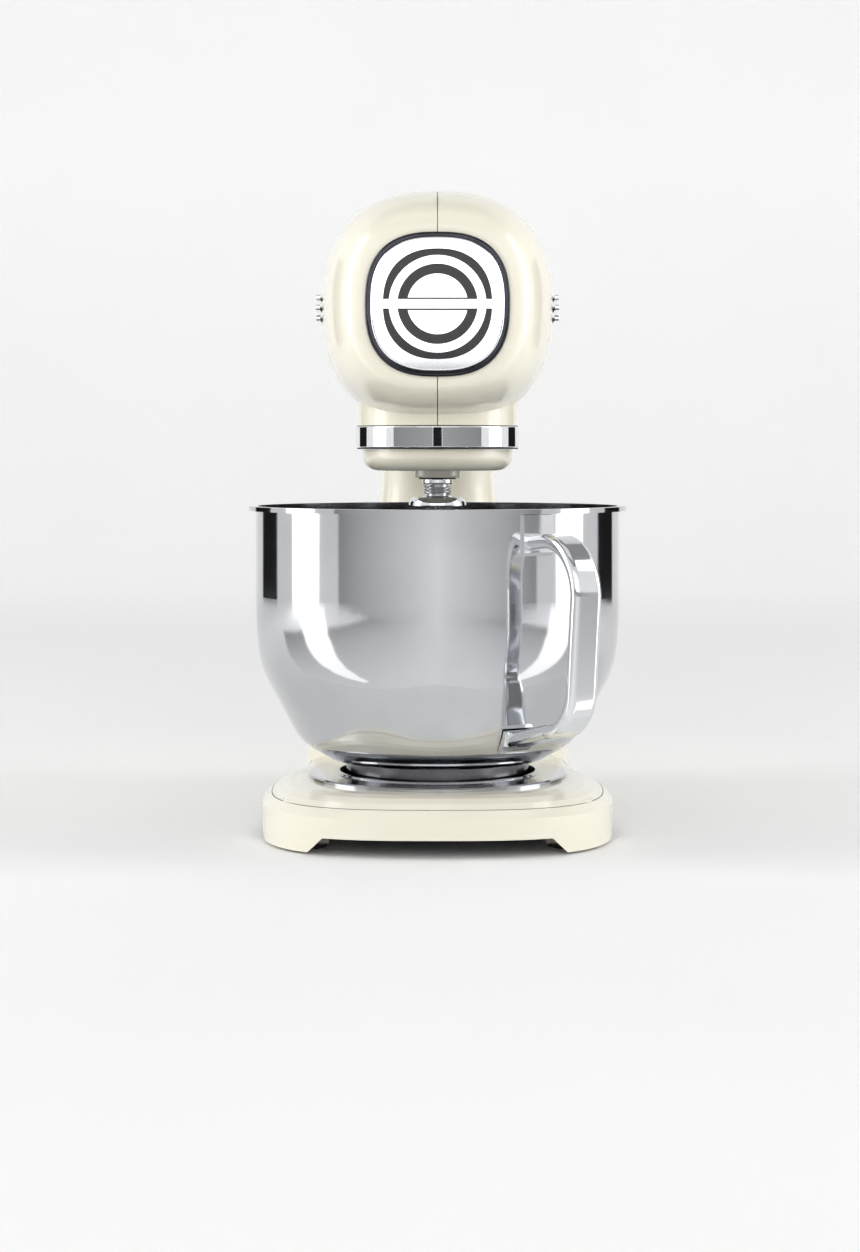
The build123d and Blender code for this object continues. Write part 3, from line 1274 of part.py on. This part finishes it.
with BuildPart() as lever_pin:
    with Locations((0, LEVER_Y, LEVER_Z)):
        Cylinder(2.47, 17, rotation=(0, 90, 0))
lever_pin.part.label = "lever_pin"
export_step(lever_pin.part, "parts/lever_pin.step")

with BuildPart() as speed_lever:
    lever_plane = Plane(origin=(0, LEVER_Y, LEVER_Z), x_dir=(1, 0, 0),
                        z_dir=(0, -cos(radians(LEVER_LEAN)), sin(radians(LEVER_LEAN))))
    with BuildSketch(lever_plane):
        with Locations((0, 0)):
            Rectangle(4, 8)
        with Locations((0, 22)):
            Rectangle(4, 42)
    extrude(amount=3, both=True)
    with BuildSketch(lever_plane):
        with Locations((0, 46)):
            RectangleRounded(18, 7, 3)
    extrude(amount=6, both=True)
    fillet(speed_lever.faces().sort_by_distance((0, LEVER_Y + 40, LEVER_Z + 40))[0].edges(), 0.8)
    with Locations((0, LEVER_Y, LEVER_Z)):
        Cylinder(5, 4, rotation=(0, 90, 0))
        Cylinder(2.52, 20, rotation=(0, 90, 0), mode=Mode.SUBTRACT)
speed_lever.part.label = "speed_lever"
export_step(speed_lever.part, "parts/speed_lever.step")

with BuildPart() as shell_studs:
    for stud_reach in (-20, 50, 120):
        for side in (1, -1):
            half_w, half_h, centre, power = head_section(stud_reach, WALL)
            rise = (centre - STUD_Z) / half_h
            skin = half_w * (1 - rise ** power) ** (1 / power)
            with BuildSketch(side_plane(side * 33.1)):
                with Locations((BOWL_Y + stud_reach, STUD_Z)):
                    Circle(1.9)
            extrude(amount=side * (skin - 35.2))
shell_studs.part.label = "shell_studs"
export_step(shell_studs.part, "parts/shell_studs.step")
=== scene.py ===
import json
from math import cos, pi, radians, sin

import bpy
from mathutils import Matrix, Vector


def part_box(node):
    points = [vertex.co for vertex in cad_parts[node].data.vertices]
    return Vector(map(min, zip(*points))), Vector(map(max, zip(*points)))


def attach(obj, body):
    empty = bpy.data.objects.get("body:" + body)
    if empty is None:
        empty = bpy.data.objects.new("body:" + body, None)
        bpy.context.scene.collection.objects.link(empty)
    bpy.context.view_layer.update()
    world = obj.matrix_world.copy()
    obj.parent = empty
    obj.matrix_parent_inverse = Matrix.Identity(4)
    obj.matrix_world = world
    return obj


# A stand mixer with a cream enamelled body, a polished steel bowl and chrome trim.
# Metres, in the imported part's frame: +Z up, the front faces -Y.

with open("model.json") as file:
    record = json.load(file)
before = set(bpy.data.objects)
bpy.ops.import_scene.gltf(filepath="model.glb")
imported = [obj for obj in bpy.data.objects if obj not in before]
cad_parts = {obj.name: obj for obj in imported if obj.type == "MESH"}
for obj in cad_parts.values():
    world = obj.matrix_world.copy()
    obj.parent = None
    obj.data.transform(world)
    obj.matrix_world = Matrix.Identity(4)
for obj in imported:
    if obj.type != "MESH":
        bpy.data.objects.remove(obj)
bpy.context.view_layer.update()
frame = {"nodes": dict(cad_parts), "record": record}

# ---------------------------------------------------------------- places read from the frame
BOWL_LOW, BOWL_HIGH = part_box("bowl")
BOWL_Y = (BOWL_LOW.y + BOWL_HIGH.y) / 2
BAND_LOW, BAND_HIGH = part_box("hub_band")
BAND_RADIUS = (BAND_HIGH.x - BAND_LOW.x) / 2
CAP_FRONT_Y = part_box("front_cap")[0].y

# ---------------------------------------------------------------- camera
CAMERA_REACH = 1.4
CAMERA_Z = 0.2194
CAMERA_LENS = 68.66
CAMERA_SENSOR = 36.0
CAMERA_SHIFT = (-0.006, -0.1366)

# ---------------------------------------------------------------- studio sizes
FLOOR_EYE = 0.02
FLOOR_RADIUS = 2.4
WALL_CURVE = 0.8
WALL_CURVE_STEPS = 12
WALL_TOP = 4.0
WALL_SEGMENTS = 96
WALL_GLOW = 0.18
GLOW_START = 0.5
WORLD_GLOW = 0.3

# ---------------------------------------------------------------- painted shade in the gaps: dark strips and rings
SEAM_SKIN = 0.0004
SEAM_WINDOW = 0.004
SEAM_END = 0.006
SEAM_STEPS = 60
SEAM_DEPTH = 0.0007
SEAM_HALF = 0.0002
SEAM_HEIGHT = 0.0015
RING_SEGMENTS = 128
RING_OUTER = BAND_RADIUS - 0.0007
TOP_RING_INNER = BAND_RADIUS - 0.003
TOP_RING_HEIGHT = 0.0004
BOTTOM_RING_INNER = BAND_RADIUS - 0.0027
BOTTOM_RING_HEIGHT = 0.0006
WELD_DISTANCE = 0.00001

# ---------------------------------------------------------------- tones and grains
WHITE = (1.0, 1.0, 1.0, 1.0)
BLACK = (0.0, 0.0, 0.0, 1.0)
CREAM = (0.9, 0.865, 0.73, 1.0)
CREAM_DEEP = (0.89, 0.85, 0.705, 1.0)
CAP_CHROME = (0.88, 0.9, 0.93, 1)
# painted shade: the black the front cap's groove floors get in place of chrome
CAP_RECESS_SHADE = (0.008, 0.008, 0.01, 1)
CAP_RECESS_DEPTH = 0.0014
CAP_BLEND = 0.0001
BOARD_LACQUER = (0.02, 0.15, 0.07, 1)
BOARD_TRACK = (0.05, 0.26, 0.12, 1)
PAPER_LOW = (0.93, 0.93, 0.93, 1)
PAPER_HIGH = (0.945, 0.945, 0.945, 1)
EVEN = (1.0, 1.0, 1.0)
TURNED = (1.0, 1.0, 40.0)


# ---------------------------------------------------------------- material helpers
def start_material(name):
    """A node material, its shader and its object coordinates."""
    material = bpy.data.materials.new(name)
    material.use_nodes = True
    tree = material.node_tree
    shader = tree.nodes["Principled BSDF"]
    place = tree.nodes.new("ShaderNodeTexCoord").outputs["Object"]
    return material, tree, shader, place


def stretched(tree, place, scale):
    """The coordinates, scaled differently along each axis."""
    mapping = tree.nodes.new("ShaderNodeMapping")
    mapping.inputs["Scale"].default_value = scale
    tree.links.new(place, mapping.inputs["Vector"])
    return mapping.outputs["Vector"]


def noise(tree, place, scale, detail=3.0, roughness=0.5):
    """A soft random value from 0 to 1."""
    texture = tree.nodes.new("ShaderNodeTexNoise")
    texture.inputs["Scale"].default_value = scale
    texture.inputs["Detail"].default_value = detail
    texture.inputs["Roughness"].default_value = roughness
    tree.links.new(place, texture.inputs["Vector"])
    return texture.outputs["Fac"]


def ramp(tree, value, low, high, low_at=0.3, high_at=0.7):
    """A colour between low and high, by where the value lies."""
    node = tree.nodes.new("ShaderNodeValToRGB")
    node.color_ramp.elements[0].position = low_at
    node.color_ramp.elements[0].color = low
    node.color_ramp.elements[1].position = high_at
    node.color_ramp.elements[1].color = high
    tree.links.new(value, node.inputs["Fac"])
    return node.outputs["Color"]


def spread(tree, value, low, high, start=0.0, end=1.0):
    """The value moved from start..end to low..high."""
    node = tree.nodes.new("ShaderNodeMapRange")
    node.inputs["From Min"].default_value = start
    node.inputs["From Max"].default_value = end
    node.inputs["To Min"].default_value = low
    node.inputs["To Max"].default_value = high
    tree.links.new(value, node.inputs["Value"])
    return node.outputs["Result"]


def part_of(tree, place, axis):
    """One coordinate of a place."""
    split = tree.nodes.new("ShaderNodeSeparateXYZ")
    tree.links.new(place, split.inputs["Vector"])
    return split.outputs[axis]


def bump(tree, shader, height, distance, strength):
    """Fine relief from a height value."""
    node = tree.nodes.new("ShaderNodeBump")
    node.inputs["Distance"].default_value = distance
    node.inputs["Strength"].default_value = strength
    tree.links.new(height, node.inputs["Height"])
    tree.links.new(node.outputs["Normal"], shader.inputs["Normal"])


# ---------------------------------------------------------------- materials
def gloss_paint(name, low, high, base_roughness, peel):
    """Stoved enamel: a cloudy tone, faint orange peel and a hard clear coat."""
    material, tree, shader, place = start_material(name)
    cloud = noise(tree, place, scale=9.0, detail=2.0)
    tree.links.new(ramp(tree, cloud, low, high), shader.inputs["Base Color"])
    uneven = noise(tree, place, scale=60.0, detail=4.0)
    rough = spread(tree, uneven, base_roughness - 0.05, base_roughness + 0.06)
    tree.links.new(rough, shader.inputs["Roughness"])
    shader.inputs["Coat Weight"].default_value = 0.8
    shader.inputs["Coat Roughness"].default_value = 0.045
    shader.inputs["Coat IOR"].default_value = 1.5
    peel_height = noise(tree, place, scale=420.0, detail=2.0)
    bump(tree, shader, peel_height, peel, strength=0.35)
    return material


def metal(name, low, high, rough, grain, grain_scale, grain_height):
    """Bare metal with a faint tone, uneven roughness and a grain of fine lines."""
    material, tree, shader, place = start_material(name)
    shader.inputs["Metallic"].default_value = 1.0
    tone = noise(tree, place, scale=22.0, detail=3.0)
    tree.links.new(ramp(tree, tone, low, high), shader.inputs["Base Color"])
    lines = noise(tree, stretched(tree, place, grain), grain_scale, detail=4.0, roughness=0.6)
    tree.links.new(spread(tree, lines, *rough), shader.inputs["Roughness"])
    bump(tree, shader, lines, grain_height, strength=0.4)
    return material


def moulded(name, low, high, rough, grain_scale, grain_height):
    """Moulded plastic or rubber with a fine grain."""
    material, tree, shader, place = start_material(name)
    tone = noise(tree, place, scale=35.0, detail=3.0)
    tree.links.new(ramp(tree, tone, low, high), shader.inputs["Base Color"])
    grain = noise(tree, place, grain_scale, detail=3.0)
    tree.links.new(spread(tree, grain, *rough), shader.inputs["Roughness"])
    bump(tree, shader, grain, grain_height, strength=0.6)
    return material


def board(name):
    """A green circuit board with its copper tracks under the lacquer."""
    material, tree, shader, place = start_material(name)
    cells = tree.nodes.new("ShaderNodeTexVoronoi")
    cells.distance = "CHEBYCHEV"
    cells.inputs["Scale"].default_value = 220.0
    tree.links.new(place, cells.inputs["Vector"])
    tracks = ramp(tree, cells.outputs["Distance"], BOARD_LACQUER, BOARD_TRACK,
                  low_at=0.35, high_at=0.45)
    tree.links.new(tracks, shader.inputs["Base Color"])
    rough = spread(tree, noise(tree, place, scale=300.0), 0.3, 0.5)
    tree.links.new(rough, shader.inputs["Roughness"])
    bump(tree, shader, cells.outputs["Distance"], distance=0.00005, strength=0.5)
    return material


def chrome_with_painted_recess_shade(name, recess_y, blend_width):
    """Chrome whose recesses, behind recess_y, are painted black as painted shade; the groove floors are
    chrome.
    """
    material, tree, shader, place = start_material(name)
    recess_shade_mask = spread(tree, part_of(tree, place, "Y"), 0.0, 1.0,
                   start=recess_y - blend_width, end=recess_y + blend_width)
    tree.links.new(ramp(tree, recess_shade_mask, CAP_CHROME, CAP_RECESS_SHADE), shader.inputs["Base Color"])
    tree.links.new(spread(tree, recess_shade_mask, 1.0, 0.0), shader.inputs["Metallic"])
    rough = spread(tree, noise(tree, place, scale=140.0, detail=4.0), 0.03, 0.12)
    tree.links.new(rough, shader.inputs["Roughness"])
    return material


MATERIALS = {
    "cream_enamel": gloss_paint(
        "cream_enamel", CREAM, CREAM_DEEP, base_roughness=0.32, peel=0.00004),
    "cream_plastic": gloss_paint(
        "cream_plastic", CREAM, CREAM_DEEP, base_roughness=0.38, peel=0.00006),
    "polished_steel": metal(
        "polished_steel", low=(0.74, 0.75, 0.77, 1), high=(0.8, 0.81, 0.83, 1),
        rough=(0.05, 0.13), grain=TURNED, grain_scale=60.0, grain_height=0.000015),
    "chrome": metal(
        "chrome", low=(0.84, 0.86, 0.88, 1), high=(0.9, 0.92, 0.94, 1),
        rough=(0.02, 0.06), grain=EVEN, grain_scale=140.0, grain_height=0.00001),
    "machined_steel": metal(
        "machined_steel", low=(0.5, 0.51, 0.53, 1), high=(0.62, 0.63, 0.65, 1),
        rough=(0.2, 0.38), grain=TURNED, grain_scale=90.0, grain_height=0.00004),
    "cast_aluminium": metal(
        "cast_aluminium", low=(0.55, 0.56, 0.58, 1), high=(0.66, 0.67, 0.69, 1),
        rough=(0.38, 0.58), grain=EVEN, grain_scale=700.0, grain_height=0.00012),
    "bronze": metal(
        "bronze", low=(0.52, 0.34, 0.15, 1), high=(0.66, 0.46, 0.24, 1),
        rough=(0.25, 0.42), grain=TURNED, grain_scale=80.0, grain_height=0.00004),
    "black_rubber": moulded(
        "black_rubber", low=(0.018, 0.018, 0.02, 1), high=(0.035, 0.035, 0.037, 1),
        rough=(0.55, 0.75), grain_scale=900.0, grain_height=0.00005),
    "dark_plastic": moulded(
        "dark_plastic", low=(0.035, 0.035, 0.038, 1), high=(0.06, 0.06, 0.065, 1),
        rough=(0.4, 0.6), grain_scale=1200.0, grain_height=0.00005),
    "circuit_board": board("circuit_board"),
}
# nodes whose finish differs from the rest of their slot
OWN_MATERIALS = {
    "bowl": metal(
        "bowl_steel", low=(0.56, 0.57, 0.59, 1), high=(0.62, 0.63, 0.65, 1),
        rough=(0.05, 0.11), grain=TURNED, grain_scale=60.0, grain_height=0.000012),
    "bowl_foot": metal(
        "foot_steel", low=(0.08, 0.08, 0.085, 1), high=(0.14, 0.14, 0.15, 1),
        rough=(0.1, 0.22), grain=TURNED, grain_scale=60.0, grain_height=0.00002),
    "bowl_seat": metal(
        "seat_steel", low=(0.42, 0.43, 0.45, 1), high=(0.52, 0.53, 0.55, 1),
        rough=(0.08, 0.16), grain=TURNED, grain_scale=60.0, grain_height=0.00002),
    # the bezel is chrome; its near-black colour is painted shade and painted reflection of the dark gap
    # round the cap
    "nose_bezel": metal(
        "bezel_chrome_painted_dark", low=(0.03, 0.03, 0.035, 1), high=(0.06, 0.06, 0.07, 1),
        rough=(0.04, 0.1), grain=EVEN, grain_scale=140.0, grain_height=0.00001),
    # the front cap's groove floors are painted black: painted shade in its recesses
    "front_cap": chrome_with_painted_recess_shade("cap_chrome_recess_shade", CAP_FRONT_Y + CAP_RECESS_DEPTH, CAP_BLEND),
}

for subpart in frame["record"]["subparts"]:
    node = frame["nodes"][subpart["node"]]
    finish = OWN_MATERIALS.get(subpart["node"], MATERIALS[subpart["material_slot"]])
    node.data.materials.clear()
    node.data.materials.append(finish)


# ---------------------------------------------------------------- mesh helpers
def new_mesh(name, points, faces, material):
    """A smooth-shaded mesh object."""
    mesh = bpy.data.meshes.new(name)
    mesh.from_pydata(points, [], faces)
    mesh.update()
    mesh.materials.append(material)
    mesh.shade_smooth()
    piece = bpy.data.objects.new(name, mesh)
    bpy.context.scene.collection.objects.link(piece)
    return piece


def painted_shade_piece(name, points, faces):
    """A flat-shaded black piece that rides on the head, in the black rubber material: painted shade in a
    gap.
    """
    piece = new_mesh(name, points, faces, MATERIALS["black_rubber"])
    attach(piece, "head")
    piece.data.shade_flat()
    return piece


def lathe_mesh(profile, segments, centre=(0.0, 0.0)):
    """Points and faces of a profile of (radius, height) turned round an upright axis."""
    points = []
    for step in range(segments):
        angle = 2 * pi * step / segments
        for radius, height in profile:
            x = centre[0] + radius * cos(angle)
            y = centre[1] + radius * sin(angle)
            points.append((x, y, height))
    count = len(profile)
    faces = []
    for step in range(segments):
        here = step * count
        ahead = (step + 1) % segments * count
        for i in range(count - 1):
            faces.append((here + i, here + i + 1, ahead + i + 1, ahead + i))
    return points, faces


def seam_shade_strip():
    """A dark strip just under the skin, in the gap between the two halves of the head: painted shade in the
    seam.
    """
    shell_low, shell_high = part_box("head_shell_right")
    shell = frame["nodes"]["head_shell_right"].data
    edge = [v.co for v in shell.vertices if v.co.x < shell_low.x + SEAM_SKIN]
    start = shell_low.y + SEAM_END
    length = shell_high.y - shell_low.y - 2 * SEAM_END
    stations = []
    for step in range(SEAM_STEPS + 1):
        y = start + length * step / SEAM_STEPS
        near = [co.z for co in edge if abs(co.y - y) < SEAM_WINDOW]
        if near:
            stations.append((y, max(near) - SEAM_DEPTH))
    points = []
    for y, z in stations:
        for x in (-SEAM_HALF, SEAM_HALF):
            points.append((x, y, z))
            points.append((x, y, z - SEAM_HEIGHT))
    faces = []
    for i in range(len(stations) - 1):
        a = 4 * i
        b = a + 4
        faces.append((a, a + 2, b + 2, b))
        faces.append((a + 1, b + 1, b + 3, a + 3))
        faces.append((a, b, b + 1, a + 1))
        faces.append((a + 2, a + 3, b + 3, b + 2))
    last = 4 * (len(stations) - 1)
    faces.append((0, 1, 3, 2))
    faces.append((last, last + 2, last + 3, last + 1))
    painted_shade_piece("seam_shade_strip", points, faces)


def band_shade_ring(name, low, high, inner, outer):
    """A black ring that shows as a fine line beside the chrome band: painted shade in the gap there."""
    profile = [(inner, low), (outer, low), (outer, high), (inner, high), (inner, low)]
    points, faces = lathe_mesh(profile, RING_SEGMENTS, (0.0, BOWL_Y))
    ring = painted_shade_piece(name, points, faces)
    weld = ring.modifiers.new("weld", "WELD")
    weld.merge_threshold = WELD_DISTANCE


# a black strip in the head's seam: painted shade in the gap between the halves
seam_shade_strip()
# black rings above and below the chrome band: painted shade in the gaps there
band_shade_ring("band_shade_ring_top", BAND_HIGH.z, BAND_HIGH.z + TOP_RING_HEIGHT, TOP_RING_INNER, RING_OUTER)
band_shade_ring("band_shade_ring_bottom", BAND_LOW.z - BOTTOM_RING_HEIGHT, BAND_LOW.z, BOTTOM_RING_INNER, RING_OUTER)


# ---------------------------------------------------------------- studio
def studio_floor():
    """A round pale floor that curves up into a wall on every side."""
    profile = [(FLOOR_EYE, 0.0), (FLOOR_RADIUS, 0.0)]
    for step in range(1, WALL_CURVE_STEPS + 1):
        angle = radians(90) * step / WALL_CURVE_STEPS
        reach = FLOOR_RADIUS + WALL_CURVE * sin(angle)
        profile.append((reach, WALL_CURVE * (1 - cos(angle))))
    profile.append((FLOOR_RADIUS + WALL_CURVE, WALL_TOP))
    points, faces = lathe_mesh(profile, WALL_SEGMENTS)
    faces.append(tuple(step * len(profile) for step in range(WALL_SEGMENTS)))
    material, tree, shader, place = start_material("studio_paper")
    tone = ramp(tree, noise(tree, place, scale=3.0, detail=2.0), PAPER_LOW, PAPER_HIGH)
    tree.links.new(tone, shader.inputs["Base Color"])
    shader.inputs["Roughness"].default_value = 0.9
    shader.inputs["Specular IOR Level"].default_value = 0.1
    away = tree.nodes.new("ShaderNodeVectorMath")
    away.operation = "LENGTH"
    tree.links.new(place, away.inputs[0])
    glow = spread(tree, away.outputs["Value"], 0.0, WALL_GLOW, start=GLOW_START, end=FLOOR_RADIUS)
    tree.links.new(glow, shader.inputs["Emission Strength"])
    shader.inputs["Emission Color"].default_value = WHITE
    floor = new_mesh("studio_floor", points, faces, material)


def softbox(name, place, size, power):
    """A rectangular light that faces the middle of the mixer."""
    light = bpy.data.lights.new(name, "AREA")
    light.shape = "RECTANGLE"
    light.size = size[0]
    light.size_y = size[1]
    light.energy = power
    lamp = bpy.data.objects.new(name, light)
    bpy.context.scene.collection.objects.link(lamp)
    lamp.location = place
    lamp.visible_camera = False
    direction = MIDDLE - lamp.location
    lamp.rotation_euler = direction.to_track_quat("-Z", "Y").to_euler()


def card(name, corner, across, up, near_shade, far_shade, near_width=1.0):
    """A flat card that only reflections see, graded from its first edge to its last."""
    start = Vector(corner)
    points = [start, start + Vector(across), start + Vector(across) + Vector(up),
              start + Vector(up) * near_width]
    material, tree, shader, place = start_material(name)
    along = spread(tree, part_of(tree, place, "X"), 0.0, 1.0,
                   start=corner[0], end=corner[0] + across[0])
    near = (near_shade, near_shade, near_shade, 1)
    far = (far_shade, far_shade, far_shade, 1)
    tone = ramp(tree, along, near, far, low_at=0.0, high_at=1.0)
    tree.links.new(tone, shader.inputs["Emission Color"])
    shader.inputs["Emission Strength"].default_value = 1.0
    shader.inputs["Base Color"].default_value = BLACK
    shader.inputs["Specular IOR Level"].default_value = 0.0
    piece = new_mesh(name, points, [(0, 1, 2, 3)], material)
    piece.visible_camera = False
    piece.visible_diffuse = False
    piece.visible_shadow = False


studio_floor()
MIDDLE = Vector((0.0, BOWL_Y, 0.2))
SIDE_BOX = (0.7, 1.7)
softbox("left_softbox", place=(-1.5, BOWL_Y - 0.05, 0.75), size=SIDE_BOX, power=10.2)
softbox("right_softbox", place=(1.5, BOWL_Y - 0.05, 0.75), size=SIDE_BOX, power=9.4)
softbox("top_softbox", place=(0.0, BOWL_Y - 0.3, 2.2), size=(1.6, 1.4), power=3.75)
softbox("front_softbox", place=(0.0, BOWL_Y - 1.9, 0.87), size=(2.2, 1.1), power=6.7)

# what the polished parts mirror: the dark camera, and the cards beside it and round the softboxes
FRONT_Y = BOWL_Y - CAMERA_REACH - 0.15
card("camera_card", corner=(-0.16, FRONT_Y, 0.2), across=(0.32, 0.0, 0.0), up=(0.0, 0.0, 0.12),
     near_shade=0.01, far_shade=0.012)
for side, side_name in ((-1, "left"), (1, "right")):
    card(side_name + "_upper_card", corner=(side * 0.18, FRONT_Y, 0.2),
         across=(side * 1.4, 0.75, 0.0), up=(0.0, 0.0, 0.11), near_shade=0.36, far_shade=0.27)
    card(side_name + "_lower_card", corner=(0.0, FRONT_Y, 0.0),
         across=(side * 1.5, 0.75, 0.0), up=(0.0, 0.0, 0.2), near_shade=1.0, far_shade=0.34)
    card(side_name + "_floor_card", corner=(0.0, FRONT_Y, 0.002),
         across=(side * 0.9, 0.5, 0.0), up=(0.0, 1.35, 0.0), near_shade=1.0, far_shade=0.4)
    card(side_name + "_bright_card", corner=(side * 0.13, BOWL_Y - 0.17, 0.003),
         across=(side * 1.35, -0.3, 0.0), up=(0.0, 0.55, 0.0), near_shade=1.6, far_shade=2.4,
         near_width=0.02)
    card(side_name + "_flag", corner=(side * 1.75, BOWL_Y + 0.9, 0.0),
         across=(side * -0.4, 0.75, 0.0), up=(0.0, 0.0, 0.9), near_shade=0.012, far_shade=0.01)

world = bpy.data.worlds.new("studio_world")
world.use_nodes = True
world.node_tree.nodes["Background"].inputs["Color"].default_value = WHITE
world.node_tree.nodes["Background"].inputs["Strength"].default_value = WORLD_GLOW
bpy.context.scene.world = world
bpy.context.scene.view_settings.view_transform = "Standard"

# ---------------------------------------------------------------- the camera in front
camera_data = bpy.data.cameras.new("camera")
camera_data.sensor_fit = "VERTICAL"
camera_data.sensor_height = CAMERA_SENSOR
camera_data.lens = CAMERA_LENS
camera_data.shift_x, camera_data.shift_y = CAMERA_SHIFT
camera = bpy.data.objects.new("camera", camera_data)
bpy.context.scene.collection.objects.link(camera)
camera.location = (0.0, BOWL_Y - CAMERA_REACH, CAMERA_Z)
camera.rotation_euler = (radians(90), 0.0, 0.0)
bpy.context.scene.camera = camera
